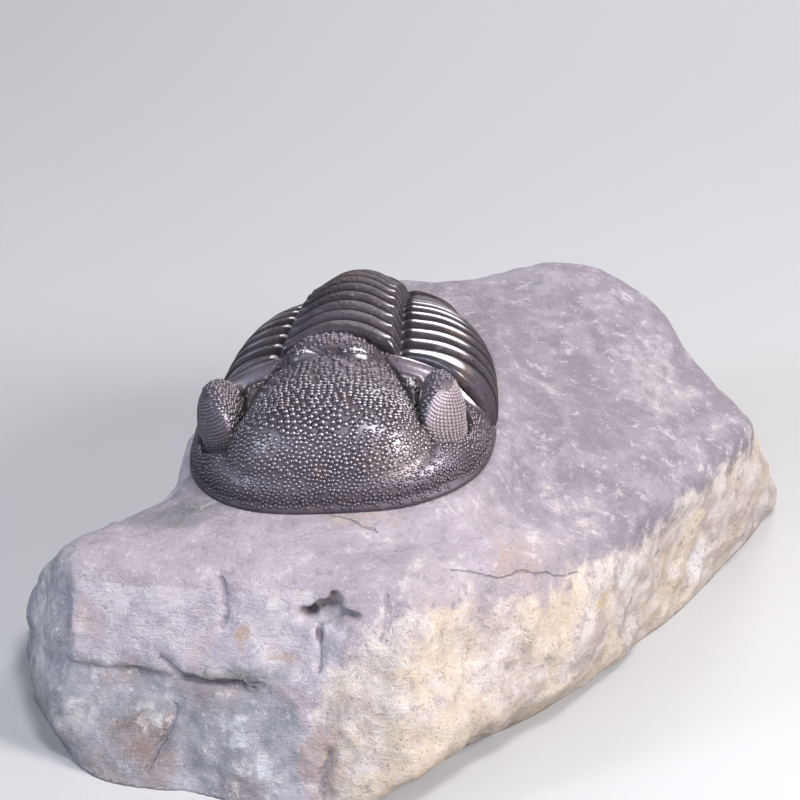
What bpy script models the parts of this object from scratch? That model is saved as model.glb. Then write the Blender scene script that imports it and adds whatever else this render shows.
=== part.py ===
"""A trilobite fossil, Morocops, lying on its block of limestone matrix.

Lengths here are millimetres until the meshes are made, which are in metres. The fossil is drawn in
its own frame: x to the side, y from the front of the head towards the tail, z up from the plane that
it rests on. on_rock() then sets it on the rock. A field is a function of points that is negative
inside a shape, and skin() makes the closed mesh of a field's surface.
"""

import math

import bmesh
import bpy
import numpy as np

MM = 0.001
# Between pieces that touch
GAP = 0.3
# From the block's own origin to the middle of its bounding box, in plan
WORLD_SHIFT = (-1.11, -6.33, 0.0)

# Where the fossil lies on the rock: front of the head, then turn, roll and pitch in degrees
FOSSIL_FRONT = (-6.8, -9.6, 22.9)
FOSSIL_YAW = 6.0
FOSSIL_ROLL = 6.0
FOSSIL_PITCH = 2.5

# Head shield, its thin rim and the bar along its rear margin
SHIELD_CENTRE = (0.0, 13.5, -1.0)
SHIELD_RADII = (15.2, 13.7, 9.3)
SHIELD_BLUNT = 2.65
SHIELD_ARCH = 2.2
RIM_TOP = 1.1
RIM_RELIEF = 0.3
RIM_WIDTH = 0.5
RIM_FURROW_HEIGHT = 1.8
RIM_FURROW_WIDTH = 0.4
REAR_MARGIN = 16.6
REAR_CURVE = 0.009
RING_BOW = 0.9
RING_BOW_WIDTH = 5.5
REAR_BAR = 1.3
REAR_BAR_RELIEF = 0.35
REAR_BAR_LEVELS = (2.0, 4.0)
REAR_RISE = 1.2
REAR_ROUND = 0.6
CORNER_ROUND = 1.8
HEAD_EASE = 0.5

# Glabella, the swollen middle of the head
GLABELLA_WIDE = 11.0
GLABELLA_TAPER = 0.335
GLABELLA_TAPER_FROM = 5.0
GLABELLA_MIDDLE_Y = 9.5
GLABELLA_FOOT_Z = 1.5
GLABELLA_REACH_Y = 9.0
GLABELLA_REACH_Z = 8.9
GLABELLA_POWER = 2.2
GLABELLA_END = 16.5
GLABELLA_END_ROUND = 1.2
GLABELLA_NECK = (12.6, 14.4, 0.5)
GLABELLA_FURROW = 0.45
GLABELLA_FURROW_WIDTH = 0.5

# Occipital ring behind the glabella, and the two nodes in front of it
RING_Y = 16.1
RING_HALF_LENGTH = 1.15
RING_HALF_WIDTH = 6.2
RING_FOOT_Z = 3.0
RING_TOP_Z = 11.1
RING_POWER = 2.2
RING_ROUND = 1.0
NODE_CENTRE = (2.7, 14.5, 9.4)
NODE_RADII = (1.6, 0.9, 1.0)

# Eyes
EYE_CENTRE = (10.7, 9.4, 6.0)
EYE_RADII = (2.4, 3.7, 3.6)
EYE_CURL = 0.09
EYE_INWARD = 0.4
EYE_GROOVE = 0.5
EYE_GROOVE_WIDTH = 0.6
EYE_GROOVE_OFF = 0.2

# Thorax of eleven rings, and the tail shield
SEGMENTS = 11
SEGMENT_LENGTH = 2.35
SEGMENT_SHRINK = 0.06
THORAX_START = (17.8, 10.8)
THORAX_RISE = 2.0
THORAX_FALL = 46.0
THORAX_FALL_LENGTH = 24.0
CREST_REACH = 40.0
CREST_STEP = 0.05
BODY_BEND = 0.0006
BODY_BEND_FROM = 12.0
AXIS_HALF = 6.2
AXIS_RELIEF = 3.1
AXIS_SHARE = 0.34
AXIS_DOME = 0.9
FLANK_HALF = 14.2
FLANK_POWER = 2.5
FLANK_POWER_LOSS = 0.022
AXIS_NARROWING = 0.09
FLANK_NARROWING = 0.0125
RIB_RELIEF = 0.38
RIB_ROUND = 0.7
RIB_FADE = 8
RING_COLUMNS = 21
RING_STATIONS = (0.0, 0.2, 0.5, 0.8, 1.0)
TAIL_LENGTH = 6.8
TAIL_RINGS = 5
TAIL_STATIONS = 10
TAIL_END = 0.985
TAIL_ARCH = 0.8
TAIL_RELIEF = 0.3
FOSSIL_LENGTH = 45.5

# Rock faces: outward direction in plan, lean of that direction above level, and a point on the face
ROCK_FACES = (
    ("right top", -30.0, 68.0, (9.5, 1.0, 22.3)),
    ("front top", -120.0, 77.0, (-7.0, -10.0, 22.7)),
    ("left front", -106.6, 23.0, (-17.0, -24.8, 0.0)),
    ("right front near", -47.4, 18.4, (4.8, -18.2, 20.0)),
    ("right front far", -31.2, -5.3, (25.6, 4.0, 0.0)),
    ("under the tip", -20.0, -35.0, (37.0, 16.5, 3.0)),
    ("right end", 23.9, 28.5, (33.0, 26.5, 17.5)),
    ("back", 85.0, 5.0, (14.0, 37.5, 20.0)),
    ("behind the tail", 128.0, 8.0, (9.0, 36.3, 25.9)),
    ("left end", 190.0, 8.0, (-33.8, -15.0, 10.0)),
    ("under the left end", 205.0, -25.0, (-33.6, -17.5, 2.5)),
    ("front under", -44.5, -47.6, (24.0, 2.0, 0.0)),
)
# Plates that stand proud of the left front face: how far, their reach in x, and in z
PLATES = (
    ("upper plate", 0.8, (-31.5, -14.0), (10.4, 40.0)),
    ("lower left plate", 0.6, (-40.0, -22.8), (-5.0, 7.6)),
)
PLATE_EDGE = 0.6
PIT_CENTRE = (-7.3, -20.2, 17.7)
PIT_RADII = (2.3, 2.0, 1.6)
PIT_EASE = 0.5
# Two faces that meet in a hollow
LEFT_BACK_EASE = 4.0
LEFT_BACK_FACES = (
    ("left back", 129.0, 40.0, (-26.0, -4.2, 20.0)),
    ("left side of the tail end", 180.0, 5.0, (-8.0, 30.0, 10.0)),
)
ROCK_ROUND = 0.7
# Lumps: least and greatest wave length, and height
ROCK_WAVES = ((14.0, 24.0, 0.16), (7.0, 12.0, 0.07))
WAVES_IN_BAND = 6
ROCK_SEED = 7

# The raised stone that the fossil lies on
PEDESTAL_MARGIN = 1.0
SEAT_MARGIN = 1.6
PEDESTAL_SPREAD = 0.12
PEDESTAL_ROUND = 2.5
PEDESTAL_JOIN = 2.0
SEAT_SLOPE = 2.0
SEAT_EDGE = 0.1

# Grids on which the two fields are meshed
ROCK_STEP = 2.5
ROCK_LOW = (-42.0, -41.3, -9.0)
ROCK_HIGH = (46.0, 46.0, 32.0)
HEAD_STEP = 1.05
HEAD_LOW = (-17.5, -1.5, -11.5)
HEAD_HIGH = (17.5, 19.5, 13.5)
# A field built of powers changes faster than distance does. This brings it near.
NEAR_DISTANCE = 0.9
SHARP_EDGE = 40.0


def smooth_least(a, b, ease):
    """The lesser of two fields, with the crease between them filled over a width ease."""
    near = np.maximum(ease - np.abs(a - b), 0.0) / ease
    return np.minimum(a, b) - near * near * ease * 0.25


def smooth_most(a, b, ease):
    """The greater of two fields, with the edge between them rounded over a width ease."""
    return -smooth_least(-a, -b, ease)


def step_up(value, low, high):
    """0 below low and 1 above high, with a smooth rise between them."""
    t = np.clip((value - low) / (high - low), 0.0, 1.0)
    return t * t * (3.0 - 2.0 * t)


def hump(value, width):
    """A bell of height 1 at 0."""
    return np.exp(-(value / width) ** 2)


def ellipsoid(x, y, z, radii):
    """About the distance to an ellipsoid at the origin."""
    a, b, c = radii
    near = np.sqrt((x / a) ** 2 + (y / b) ** 2 + (z / c) ** 2) + 1e-9
    slope = np.sqrt((x / a / a) ** 2 + (y / b / b) ** 2 + (z / c / c) ** 2) + 1e-9
    return near * (near - 1.0) / slope


def blunt_dome(x, y, z, radii):
    """About the distance to a dome whose outline from above is blunter than an ellipse."""
    a, b, c = radii
    plan = (np.abs(x / a) ** SHIELD_BLUNT + np.abs(y / b) ** SHIELD_BLUNT + 1e-12) ** (1 / SHIELD_BLUNT)
    near = (plan ** SHIELD_ARCH + np.abs(z / c) ** SHIELD_ARCH + 1e-12) ** (1 / SHIELD_ARCH)
    reach = np.sqrt(x * x + y * y + z * z) + 1e-9
    return (near - 1.0) * reach / near * NEAR_DISTANCE


def eye_field(side, y, z):
    """One eye, curled round its own middle like a bean."""
    cx, cy, cz = EYE_CENTRE
    x = side - cx + EYE_CURL * (y - cy) ** 2 - EYE_INWARD
    return ellipsoid(x, y - cy, z - cz, EYE_RADII)


def glabella_field(side, y, z):
    """The glabella, wide in front and narrowing towards the occipital ring."""
    half = GLABELLA_WIDE - GLABELLA_TAPER * np.maximum(y - GLABELLA_TAPER_FROM, 0.0)
    a = side / half
    b = np.maximum(GLABELLA_MIDDLE_Y - y, 0.0) / GLABELLA_REACH_Y
    neck_from, neck_to, neck_drop = GLABELLA_NECK
    c = (z - GLABELLA_FOOT_Z) / (GLABELLA_REACH_Z - neck_drop * step_up(y, neck_from, neck_to))
    power = GLABELLA_POWER
    near = (np.abs(a) ** power + np.abs(b) ** power + np.abs(c) ** power + 1e-12) ** (1.0 / power)
    body = (near - 1.0) * GLABELLA_REACH_Z * NEAR_DISTANCE
    return smooth_most(body, y - GLABELLA_END, GLABELLA_END_ROUND)


def ring_field(side, y, z):
    """The occipital ring, an arch across the rear of the head."""
    a = side / RING_HALF_WIDTH
    c = (z - RING_FOOT_Z) / (RING_TOP_Z - RING_FOOT_Z)
    near = (np.abs(a) ** RING_POWER + np.abs(c) ** RING_POWER + 1e-12) ** (1.0 / RING_POWER)
    arch = (near - 1.0) * (RING_TOP_Z - RING_FOOT_Z) * NEAR_DISTANCE
    return smooth_most(arch, np.abs(y - RING_Y) - RING_HALF_LENGTH, RING_ROUND)


def head_field(points):
    """The head shield as one form: cheeks, rim, glabella, occipital ring and eyes."""
    side = np.abs(points[..., 0])
    y = points[..., 1]
    z = points[..., 2]
    cx, cy, cz = SHIELD_CENTRE
    wide = SHIELD_RADII[0]
    rear = y - REAR_MARGIN - sweep(side)
    rise = REAR_RISE * step_up(rear, -2.0 * REAR_BAR, -REAR_BAR) * (1.0 - step_up(side, 0.75 * wide, wide))
    shield = blunt_dome(side - cx, y - cy, z - cz - rise, SHIELD_RADII)
    glabella = glabella_field(side, y, z)
    eye = eye_field(side, y, z)
    shield -= RIM_RELIEF * hump(z - 0.5 * RIM_TOP, RIM_WIDTH)
    shield += RIM_RELIEF * hump(z - RIM_FURROW_HEIGHT, RIM_FURROW_WIDTH)
    bar = REAR_BAR_RELIEF * step_up(z, *REAR_BAR_LEVELS)
    shield -= bar * hump(rear + 0.5 * REAR_BAR, 0.5 * REAR_BAR)
    shield += bar * hump(rear + 1.5 * REAR_BAR, 0.35 * REAR_BAR)
    shield += EYE_GROOVE * hump(eye - EYE_GROOVE_OFF, EYE_GROOVE_WIDTH)
    shield += GLABELLA_FURROW * hump(glabella, GLABELLA_FURROW_WIDTH)
    nx, ny, nz = NODE_CENTRE
    node = ellipsoid(side - nx, y - ny, z - nz, NODE_RADII)
    whole = smooth_least(shield, glabella, HEAD_EASE)
    whole = smooth_least(whole, ring_field(side, y, z), HEAD_EASE)
    whole = smooth_least(whole, node, HEAD_EASE)
    whole = smooth_least(whole, eye, 0.8 * HEAD_EASE)
    rounding = REAR_ROUND + (CORNER_ROUND - REAR_ROUND) * step_up(side, 0.7 * wide, 0.95 * wide)
    return smooth_most(whole, rear, rounding)


def fossil_axes():
    """The fossil's own axes as they lie on the rock, one to a column."""
    yaw, roll, pitch = (math.radians(a) for a in (FOSSIL_YAW, FOSSIL_ROLL, FOSSIL_PITCH))
    turn = [[math.cos(yaw), math.sin(yaw), 0], [-math.sin(yaw), math.cos(yaw), 0], [0, 0, 1]]
    tip = [[math.cos(roll), 0, -math.sin(roll)], [0, 1, 0], [math.sin(roll), 0, math.cos(roll)]]
    lift = [[1, 0, 0], [0, math.cos(pitch), -math.sin(pitch)], [0, math.sin(pitch), math.cos(pitch)]]
    return np.array(turn) @ np.array(tip) @ np.array(lift)


def body_bend(y):
    """How far the body has bent sideways at a length y from the front."""
    return BODY_BEND * np.maximum(y - BODY_BEND_FROM, 0.0) ** 2


def on_rock(points):
    """Points of the fossil's own frame, where they lie on the rock."""
    bent = np.array(points, dtype=float)
    bent[..., 0] += body_bend(bent[..., 1])
    return bent @ fossil_axes().T + np.array(FOSSIL_FRONT)


def off_rock(points):
    """Points on the rock, in the fossil's own frame."""
    own = (np.asarray(points) - np.array(FOSSIL_FRONT)) @ fossil_axes()
    own[..., 0] -= body_bend(own[..., 1])
    return own


def crest(s):
    """The thorax crest at a length s behind the head: its y, its z and its slope."""
    steps = np.arange(0.0, CREST_REACH, CREST_STEP)
    slope = np.radians(THORAX_RISE - THORAX_FALL * step_up(steps, 0.0, THORAX_FALL_LENGTH))
    y = THORAX_START[0] + np.cumsum(np.cos(slope)) * CREST_STEP
    z = THORAX_START[1] + np.cumsum(np.sin(slope)) * CREST_STEP
    return np.interp(s, steps, y), np.interp(s, steps, z), np.interp(s, steps, slope)


def sweep(x):
    """How far back a ring's edge lies at a distance x from the middle line."""
    return RING_BOW * hump(x, RING_BOW_WIDTH) - REAR_CURVE * x * x


def ring_row(s, angles, relief):
    """One row of points across the thorax at length s, and the foot of each on the seat plane."""
    y, z, slope = crest(s)
    axis = AXIS_HALF - AXIS_NARROWING * s
    flank = FLANK_HALF - FLANK_NARROWING * s * s
    power = FLANK_POWER - FLANK_POWER_LOSS * s
    full = z / math.cos(slope)
    furrow = min(AXIS_RELIEF, AXIS_SHARE * full)
    top = []
    foot = []
    for a in angles:
        part = abs(a)
        if part < 1.0:
            x = axis * math.sin(part * math.pi / 2)
            depth = furrow * (1.0 - math.cos(part * math.pi / 2) ** AXIS_DOME)
        else:
            t = (part - 1.0) * math.pi / 2
            x = axis + (flank - axis) * math.sin(t) ** (2 / power)
            depth = furrow + (full - furrow) * (1.0 - math.cos(t) ** (2 / power))
        proud = relief * (1.0 - (part / 2.0) ** RIB_FADE)
        outward = proud * step_up(part, 1.0, 2.0)
        x = math.copysign(x + outward, a)
        depth = depth - proud * (1.0 - step_up(part, 1.2, 2.0))
        back = y + sweep(x) - sweep(0.0)
        top.append((x, back + depth * math.sin(slope), z - depth * math.cos(slope)))
        foot.append((x, back + full * math.sin(slope), 0.0))
    return top, foot


def plank(rows, feet):
    """A closed mesh under rows of points that all end on the seat plane."""
    count = len(rows[0])
    points = [p for row in rows for p in row] + [p for p in feet[0][1:-1]] + [p for p in feet[-1][1:-1]]
    first_foot = len(rows) * count
    front = [0] + [first_foot + j for j in range(count - 2)] + [count - 1]
    last_row = (len(rows) - 1) * count
    second = first_foot + count - 2
    rear = [last_row] + [second + j for j in range(count - 2)] + [last_row + count - 1]
    faces = []
    for i in range(len(rows) - 1):
        for j in range(count - 1):
            a = i * count + j
            faces.append((a, a + 1, a + 1 + count, a + count))
    for j in range(count - 1):
        faces.append((j + 1, j, front[j], front[j + 1]))
        faces.append((last_row + j, last_row + j + 1, rear[j + 1], rear[j]))
        faces.append((front[j + 1], front[j], rear[j], rear[j + 1]))
    faces.append(tuple(i * count for i in range(len(rows))))
    faces.append(tuple(i * count + count - 1 for i in reversed(range(len(rows)))))
    tidy = []
    for face in faces:
        kept = [v for k, v in enumerate(face) if v != face[k - 1]]
        if len(kept) > 2:
            tidy.append(tuple(kept))
    return np.array(points), tidy


def segment_mesh(number):
    """One ring of the thorax, convex from front to rear."""
    start, length = segment_span(number)
    angles = np.linspace(-2.0, 2.0, RING_COLUMNS)
    rows = []
    feet = []
    for t in RING_STATIONS:
        s = start + 0.5 * GAP + t * (length - GAP)
        top, foot = ring_row(s, angles, RIB_RELIEF * math.sin(math.pi * t) ** RIB_ROUND)
        rows.append(top)
        feet.append(foot)
    return plank(rows, feet)


def segment_span(number):
    """Where a ring starts behind the head, and its length. The rings shorten towards the tail."""
    start = 0.0
    for n in range(number):
        start += SEGMENT_LENGTH - SEGMENT_SHRINK * n
    return start, SEGMENT_LENGTH - SEGMENT_SHRINK * number


def tail_mesh():
    """The tail shield, which closes behind the last ring in a rounded end."""
    begin = segment_span(SEGMENTS)[0] + 0.5 * GAP
    angles = np.linspace(-2.0, 2.0, RING_COLUMNS)
    base_top, base_foot = ring_row(begin, angles, 0.0)
    rows = []
    feet = []
    for i in range(TAIL_STATIONS + 1):
        t = min(i / TAIL_STATIONS, TAIL_END)
        narrow = math.sqrt(1.0 - t * t)
        low = (1.0 - t * t) ** TAIL_ARCH
        along = t * TAIL_LENGTH
        proud = TAIL_RELIEF * (0.5 - 0.5 * math.cos(2 * math.pi * TAIL_RINGS * t)) * (1.0 - t)
        top = []
        foot = []
        for (x, y, z), (_, fy, _), a in zip(base_top, base_foot, angles):
            lift = proud * (1.0 - (abs(a) / 2.0) ** RIB_FADE)
            edge = fy + (y - fy) * low
            top.append((x * narrow, edge + along, z * low + lift))
            foot.append((x * narrow, fy + along, 0.0))
        rows.append(top)
        feet.append(foot)
    return plank(rows, feet)


def rock_lumps(points, waves):
    """Gentle lumps: waves of fixed directions and lengths, added up."""
    rng = np.random.default_rng(ROCK_SEED)
    total = 0.0
    for low, high, size in waves:
        for _ in range(WAVES_IN_BAND):
            direction = rng.normal(size=3)
            direction *= 2 * math.pi / rng.uniform(low, high) / np.linalg.norm(direction)
            total = total + size * np.sin(points @ direction + rng.uniform(0.0, 2 * math.pi))
    return total


def footprint(own):
    """About how far a point of the fossil's frame lies outside the fossil's outline."""
    side = np.abs(own[..., 0])
    y = own[..., 1]
    _, cy, _ = SHIELD_CENTRE
    a, b, _ = SHIELD_RADII
    ahead = np.minimum(y - cy, 0.0)
    head = ((side / a) ** SHIELD_BLUNT + np.abs(ahead / b) ** SHIELD_BLUNT + 1e-12) ** (1 / SHIELD_BLUNT)
    tail_from = FOSSIL_LENGTH - TAIL_LENGTH
    behind = np.clip(y - THORAX_START[0], 0.0, tail_from - THORAX_START[0])
    flank = FLANK_HALF - FLANK_NARROWING * behind ** 2
    past = np.maximum(y - tail_from, 0.0) / TAIL_LENGTH
    body = (np.sqrt((side / flank) ** 2 + past ** 2) - 1.0) * TAIL_LENGTH
    body = np.where(y < tail_from, side - flank, body)
    return np.where(y < THORAX_START[0], (head - 1.0) * NEAR_DISTANCE * b, body)


def broken_face(points, face):
    """The distance outside one flat face of the rock."""
    _, azimuth, lean, through = face
    a = math.radians(azimuth)
    b = math.radians(lean)
    out = np.array([math.cos(b) * math.cos(a), math.cos(b) * math.sin(a), math.sin(b)])
    return (points - np.array(through)) @ out


def plates(points):
    """How far the plates of the left front face stand proud of it."""
    x = points[..., 0]
    z = points[..., 2]
    total = 0.0
    for _, proud, (left, right), (low, high) in PLATES:
        across = step_up(x, left - PLATE_EDGE, left) * (1.0 - step_up(x, right, right + 4.0 * PLATE_EDGE))
        upward = step_up(z, low - PLATE_EDGE, low) * (1.0 - step_up(z, high, high + PLATE_EDGE))
        total = total + proud * across * upward
    return total


def pit_field(points):
    """The pit in the front of the block."""
    x, y, z = (points[..., i] - PIT_CENTRE[i] for i in range(3))
    return ellipsoid(x, y, z, PIT_RADII)


def rock_field(points):
    """The block: broken faces, a pedestal under the fossil, and the seat that the fossil lies on."""
    own = off_rock(points)
    seat = own[..., 2] + GAP
    faces = {face[0]: broken_face(points, face) for face in ROCK_FACES}
    faces["left front"] = faces["left front"] - plates(points)
    faces["seat"] = seat
    pair = (broken_face(points, face) for face in LEFT_BACK_FACES)
    faces["left back"] = smooth_least(*pair, LEFT_BACK_EASE)
    total = sum(np.exp(np.clip(face / ROCK_ROUND, -60.0, 60.0)) for face in faces.values())
    block = ROCK_ROUND * np.log(total)
    block = block + rock_lumps(points, ROCK_WAVES)
    block = smooth_most(block, -pit_field(points), PIT_EASE)
    outside = footprint(own)
    wall = outside - PEDESTAL_MARGIN + PEDESTAL_SPREAD * own[..., 2]
    pedestal = smooth_most(seat, wall, PEDESTAL_ROUND)
    whole = smooth_least(block, pedestal, PEDESTAL_JOIN)
    clear = seat - SEAT_SLOPE * np.maximum(outside - SEAT_MARGIN, 0.0)
    return smooth_most(whole, clear, SEAT_EDGE)


def skin(field, low, high, step):
    """The closed mesh of a field's surface, found on a grid of cells and then drawn onto the field."""
    ticks = [np.arange(a, b + step, step) for a, b in zip(low, high)]
    grid = np.stack(np.meshgrid(*ticks, indexing="ij"), axis=-1)
    values = np.full(grid.shape[:-1], 0.5 * step)
    values[1:-1, 1:-1, 1:-1] = field(grid[1:-1, 1:-1, 1:-1])
    inside = values < 0.0
    cells = tuple(n - 1 for n in values.shape)
    corners = np.zeros(cells, dtype=int)
    for i in (0, 1):
        for j in (0, 1):
            for k in (0, 1):
                corners += inside[i:i + cells[0], j:j + cells[1], k:k + cells[2]]
    live = (corners > 0) & (corners < 8)
    number = np.full(cells, -1)
    number[live] = np.arange(live.sum())
    place = np.zeros((live.sum(), 3))
    hits = np.zeros(live.sum())
    faces = []
    for axis in range(3):
        near = np.moveaxis(values, axis, 0)[:-1]
        far = np.moveaxis(values, axis, 0)[1:]
        crossing = np.moveaxis((near < 0.0) != (far < 0.0), 0, axis)
        spots = np.argwhere(crossing)
        a = np.moveaxis(near, 0, axis)[crossing]
        b = np.moveaxis(far, 0, axis)[crossing]
        where = grid[spots[:, 0], spots[:, 1], spots[:, 2]].copy()
        where[:, axis] += step * a / (a - b)
        one, two = (axis + 1) % 3, (axis + 2) % 3
        ring = []
        for shift_one, shift_two in ((0, 0), (-1, 0), (-1, -1), (0, -1)):
            cell = spots.copy()
            cell[:, one] += shift_one
            cell[:, two] += shift_two
            index = number[cell[:, 0], cell[:, 1], cell[:, 2]]
            np.add.at(place, index, where)
            np.add.at(hits, index, 1.0)
            ring.append(index)
        ring = np.stack(ring, axis=1)
        ring[a > 0.0] = ring[a > 0.0][:, ::-1]
        faces.append(ring)
    place /= hits[:, None]
    for _ in range(4):
        place -= 0.9 * pull(field, place, step)
    return place, np.concatenate(faces)


def pull(field, points, step):
    """The step that would bring each point to the field's surface, never more than half a cell."""
    reach = 0.02 * step
    value = field(points)
    slope = np.zeros_like(points)
    for axis in range(3):
        shift = np.zeros(3)
        shift[axis] = reach
        slope[:, axis] = (field(points + shift) - field(points - shift)) / (2 * reach)
    move = slope * (value / np.maximum((slope ** 2).sum(axis=1), 0.2))[:, None]
    length = np.linalg.norm(move, axis=1)[:, None]
    return move * np.minimum(1.0, 0.5 * step / np.maximum(length, 1e-9))


def stone(name, colour, roughness):
    """A stone material with one colour."""
    material = bpy.data.materials.new(name)
    material.use_nodes = True
    surface = material.node_tree.nodes["Principled BSDF"]
    surface.inputs["Base Color"].default_value = (*colour, 1.0)
    surface.inputs["Roughness"].default_value = roughness
    surface.inputs["Metallic"].default_value = 0.0
    return material


def cut_flat(points, faces, step):
    """The part of a closed mesh above level 0, closed there by one flat face."""
    level = points.copy()
    level[np.abs(level[:, 2]) < 0.25 * step, 2] = 0.0
    work = bmesh.new()
    for p in level:
        work.verts.new(p)
    work.verts.ensure_lookup_table()
    for face in faces:
        work.faces.new([work.verts[v] for v in face])
    everything = list(work.verts) + list(work.edges) + list(work.faces)
    bmesh.ops.bisect_plane(work, geom=everything, dist=1e-5, plane_co=(0, 0, 0), plane_no=(0, 0, 1),
                           clear_inner=True)
    rim = [edge for edge in work.edges if edge.is_boundary]
    bmesh.ops.holes_fill(work, edges=rim, sides=0)
    work.verts.index_update()
    kept = np.array([tuple(v.co) for v in work.verts])
    kept[np.abs(kept[:, 2]) < 1e-4, 2] = 0.0
    shape = [tuple(v.index for v in face.verts) for face in work.faces]
    work.free()
    return kept, shape


def add_piece(name, points, faces, material):
    """A named object with its mesh in metres."""
    mesh = bpy.data.meshes.new(name)
    placed = (np.asarray(points) + np.array(WORLD_SHIFT)) * MM
    mesh.from_pydata(placed.tolist(), [], [tuple(int(v) for v in f) for f in faces])
    work = bmesh.new()
    work.from_mesh(mesh)
    bmesh.ops.recalc_face_normals(work, faces=work.faces)
    work.to_mesh(mesh)
    work.free()
    mesh.shade_smooth()
    mesh.set_sharp_from_angle(angle=math.radians(SHARP_EDGE))
    mesh.materials.append(material)
    piece = bpy.data.objects.new(name, mesh)
    bpy.context.scene.collection.objects.link(piece)
    return piece


def main():
    """Clears the scene and models the fossil and its block."""
    for old in list(bpy.data.objects):
        bpy.data.objects.remove(old)
    calcite = stone("dark calcite", (0.045, 0.035, 0.035), 0.35)
    limestone = stone("limestone", (0.50, 0.46, 0.44), 0.9)
    points, faces = cut_flat(*skin(head_field, HEAD_LOW, HEAD_HIGH, HEAD_STEP), HEAD_STEP)
    add_piece("cephalon", on_rock(points), faces, calcite)
    for number in range(SEGMENTS):
        points, faces = segment_mesh(number)
        add_piece(f"thoracic_segment_{number + 1:02d}", on_rock(points), faces, calcite)
    points, faces = tail_mesh()
    add_piece("pygidium", on_rock(points), faces, calcite)
    points, faces = cut_flat(*skin(rock_field, ROCK_LOW, ROCK_HIGH, ROCK_STEP), ROCK_STEP)
    add_piece("matrix_rock", points, faces, limestone)


main()
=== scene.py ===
"""The look of a trilobite fossil on its block of limestone.

The solids that fix every size and place come from the frame. Here each is dressed by a finer mesh of the
same form. Lengths are millimetres until a mesh is made, which is in metres. The fossil is drawn in its own
frame: x to the side, y from the front of the head towards the tail, z up from the plane it rests on.
on_rock() then sets it on the block. A field is a function of points that is negative inside a shape.
"""

import math

import bmesh
import bpy
import numpy as np
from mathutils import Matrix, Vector


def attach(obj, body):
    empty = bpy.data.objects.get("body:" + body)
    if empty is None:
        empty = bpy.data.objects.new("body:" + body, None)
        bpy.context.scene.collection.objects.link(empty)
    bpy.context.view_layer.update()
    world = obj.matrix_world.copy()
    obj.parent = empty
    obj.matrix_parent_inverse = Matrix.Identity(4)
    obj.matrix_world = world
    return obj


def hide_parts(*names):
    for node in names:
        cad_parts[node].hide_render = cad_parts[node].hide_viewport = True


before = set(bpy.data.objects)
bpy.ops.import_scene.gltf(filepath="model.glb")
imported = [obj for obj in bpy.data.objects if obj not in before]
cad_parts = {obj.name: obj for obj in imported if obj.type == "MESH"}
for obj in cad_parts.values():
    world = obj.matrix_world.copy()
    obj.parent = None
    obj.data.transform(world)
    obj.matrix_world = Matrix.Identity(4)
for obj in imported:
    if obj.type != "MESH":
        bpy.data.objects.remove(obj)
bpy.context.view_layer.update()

MM = 0.001
# From the block's own origin to the middle of its bounding box, in plan
WORLD_SHIFT = (-1.11, -6.33, 0.0)

# Where the fossil lies on the rock: front of the head, then turn, roll and pitch in degrees
FOSSIL_FRONT = (-6.8, -9.6, 22.9)
FOSSIL_YAW = 6.0
FOSSIL_ROLL = 6.0
FOSSIL_PITCH = 2.5

# Head shield, its thin rim and the bar along its rear margin
SHIELD_CENTRE = (0.0, 13.5, -1.0)
SHIELD_RADII = (15.2, 13.7, 9.1)
SHIELD_BLUNT = 2.65
SHIELD_ARCH = 2.2
RIM_TOP = 0.55
RIM_RELIEF = 0.16
RIM_WIDTH = 0.3
RIM_FURROW_HEIGHT = 1.0
RIM_FURROW_WIDTH = 0.25
REAR_MARGIN = 15.7
REAR_CURVE = 0.006
RING_BOW = 0.9
RING_BOW_WIDTH = 5.5
REAR_BAR = 1.3
REAR_BAR_RELIEF = 0.35
REAR_BAR_LEVELS = (2.0, 4.0)
REAR_RISE = 0.4
REAR_ROUND = 0.6
CORNER_ROUND = 0.9
HEAD_EASE = 0.5
# The head leans to the left by this share of the length behind its front
HEAD_LEAN = 0.03
# The right cheek is wider than the left by twice this share
SHIELD_SKEW = 0.02

# Glabella, the swollen middle of the head
GLABELLA_WIDE = 10.7
GLABELLA_TAPER = 0.335
GLABELLA_TAPER_FROM = 5.0
GLABELLA_MIDDLE_Y = 9.5
GLABELLA_FOOT_Z = 1.3
GLABELLA_REACH_Y = 9.0
GLABELLA_REACH_Z = 8.7
GLABELLA_POWER = 2.2
GLABELLA_BLUNT = 3.1
GLABELLA_END = 15.4
GLABELLA_END_ROUND = 1.2
GLABELLA_NECK = (11.8, 13.4, 0.4)
GLABELLA_EASE = 1.3
GLABELLA_FURROW = 0.6
GLABELLA_FURROW_WIDTH = 0.4

# Occipital ring behind the glabella, and the two nodes in front of it
RING_Y = 15.2
RING_HALF_LENGTH = 1.15
RING_HALF_WIDTH = 6.2
RING_FOOT_Z = 3.0
RING_TOP_Z = 10.65
RING_POWER = 2.2
RING_ROUND = 0.8
NODE_CENTRE = (2.4, 13.4, 9.15)
NODE_RADII = (1.6, 0.9, 1.0)

# Eyes
EYE_CENTRE = (10.7, 9.2, 5.2)
EYE_RADII = (2.1, 3.6, 4.1)
EYE_CURL = 0.09
EYE_INWARD = 0.4
EYE_GROOVE = 0.75
EYE_GROOVE_WIDTH = 0.38
EYE_GROOVE_OFF = 0.25

# Thorax of eleven rings, and the tail shield
SEGMENTS = 11
SEGMENT_LENGTH = 2.15
SEGMENT_SHRINK = 0.02
THORAX_START = (16.7, 10.35)
# The crest starts at this slope in degrees and falls by so much more, between two lengths behind the head
THORAX_RISE = -3.2
THORAX_FALL = 41.0
THORAX_FALLS = (6.0, 24.0)
CREST_REACH = 40.0
CREST_STEP = 0.05
BODY_BEND = 0.0006
BODY_BEND_FROM = 12.0
AXIS_HALF = 6.2
AXIS_RELIEF = 3.0
AXIS_SHARE = 0.34
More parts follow.
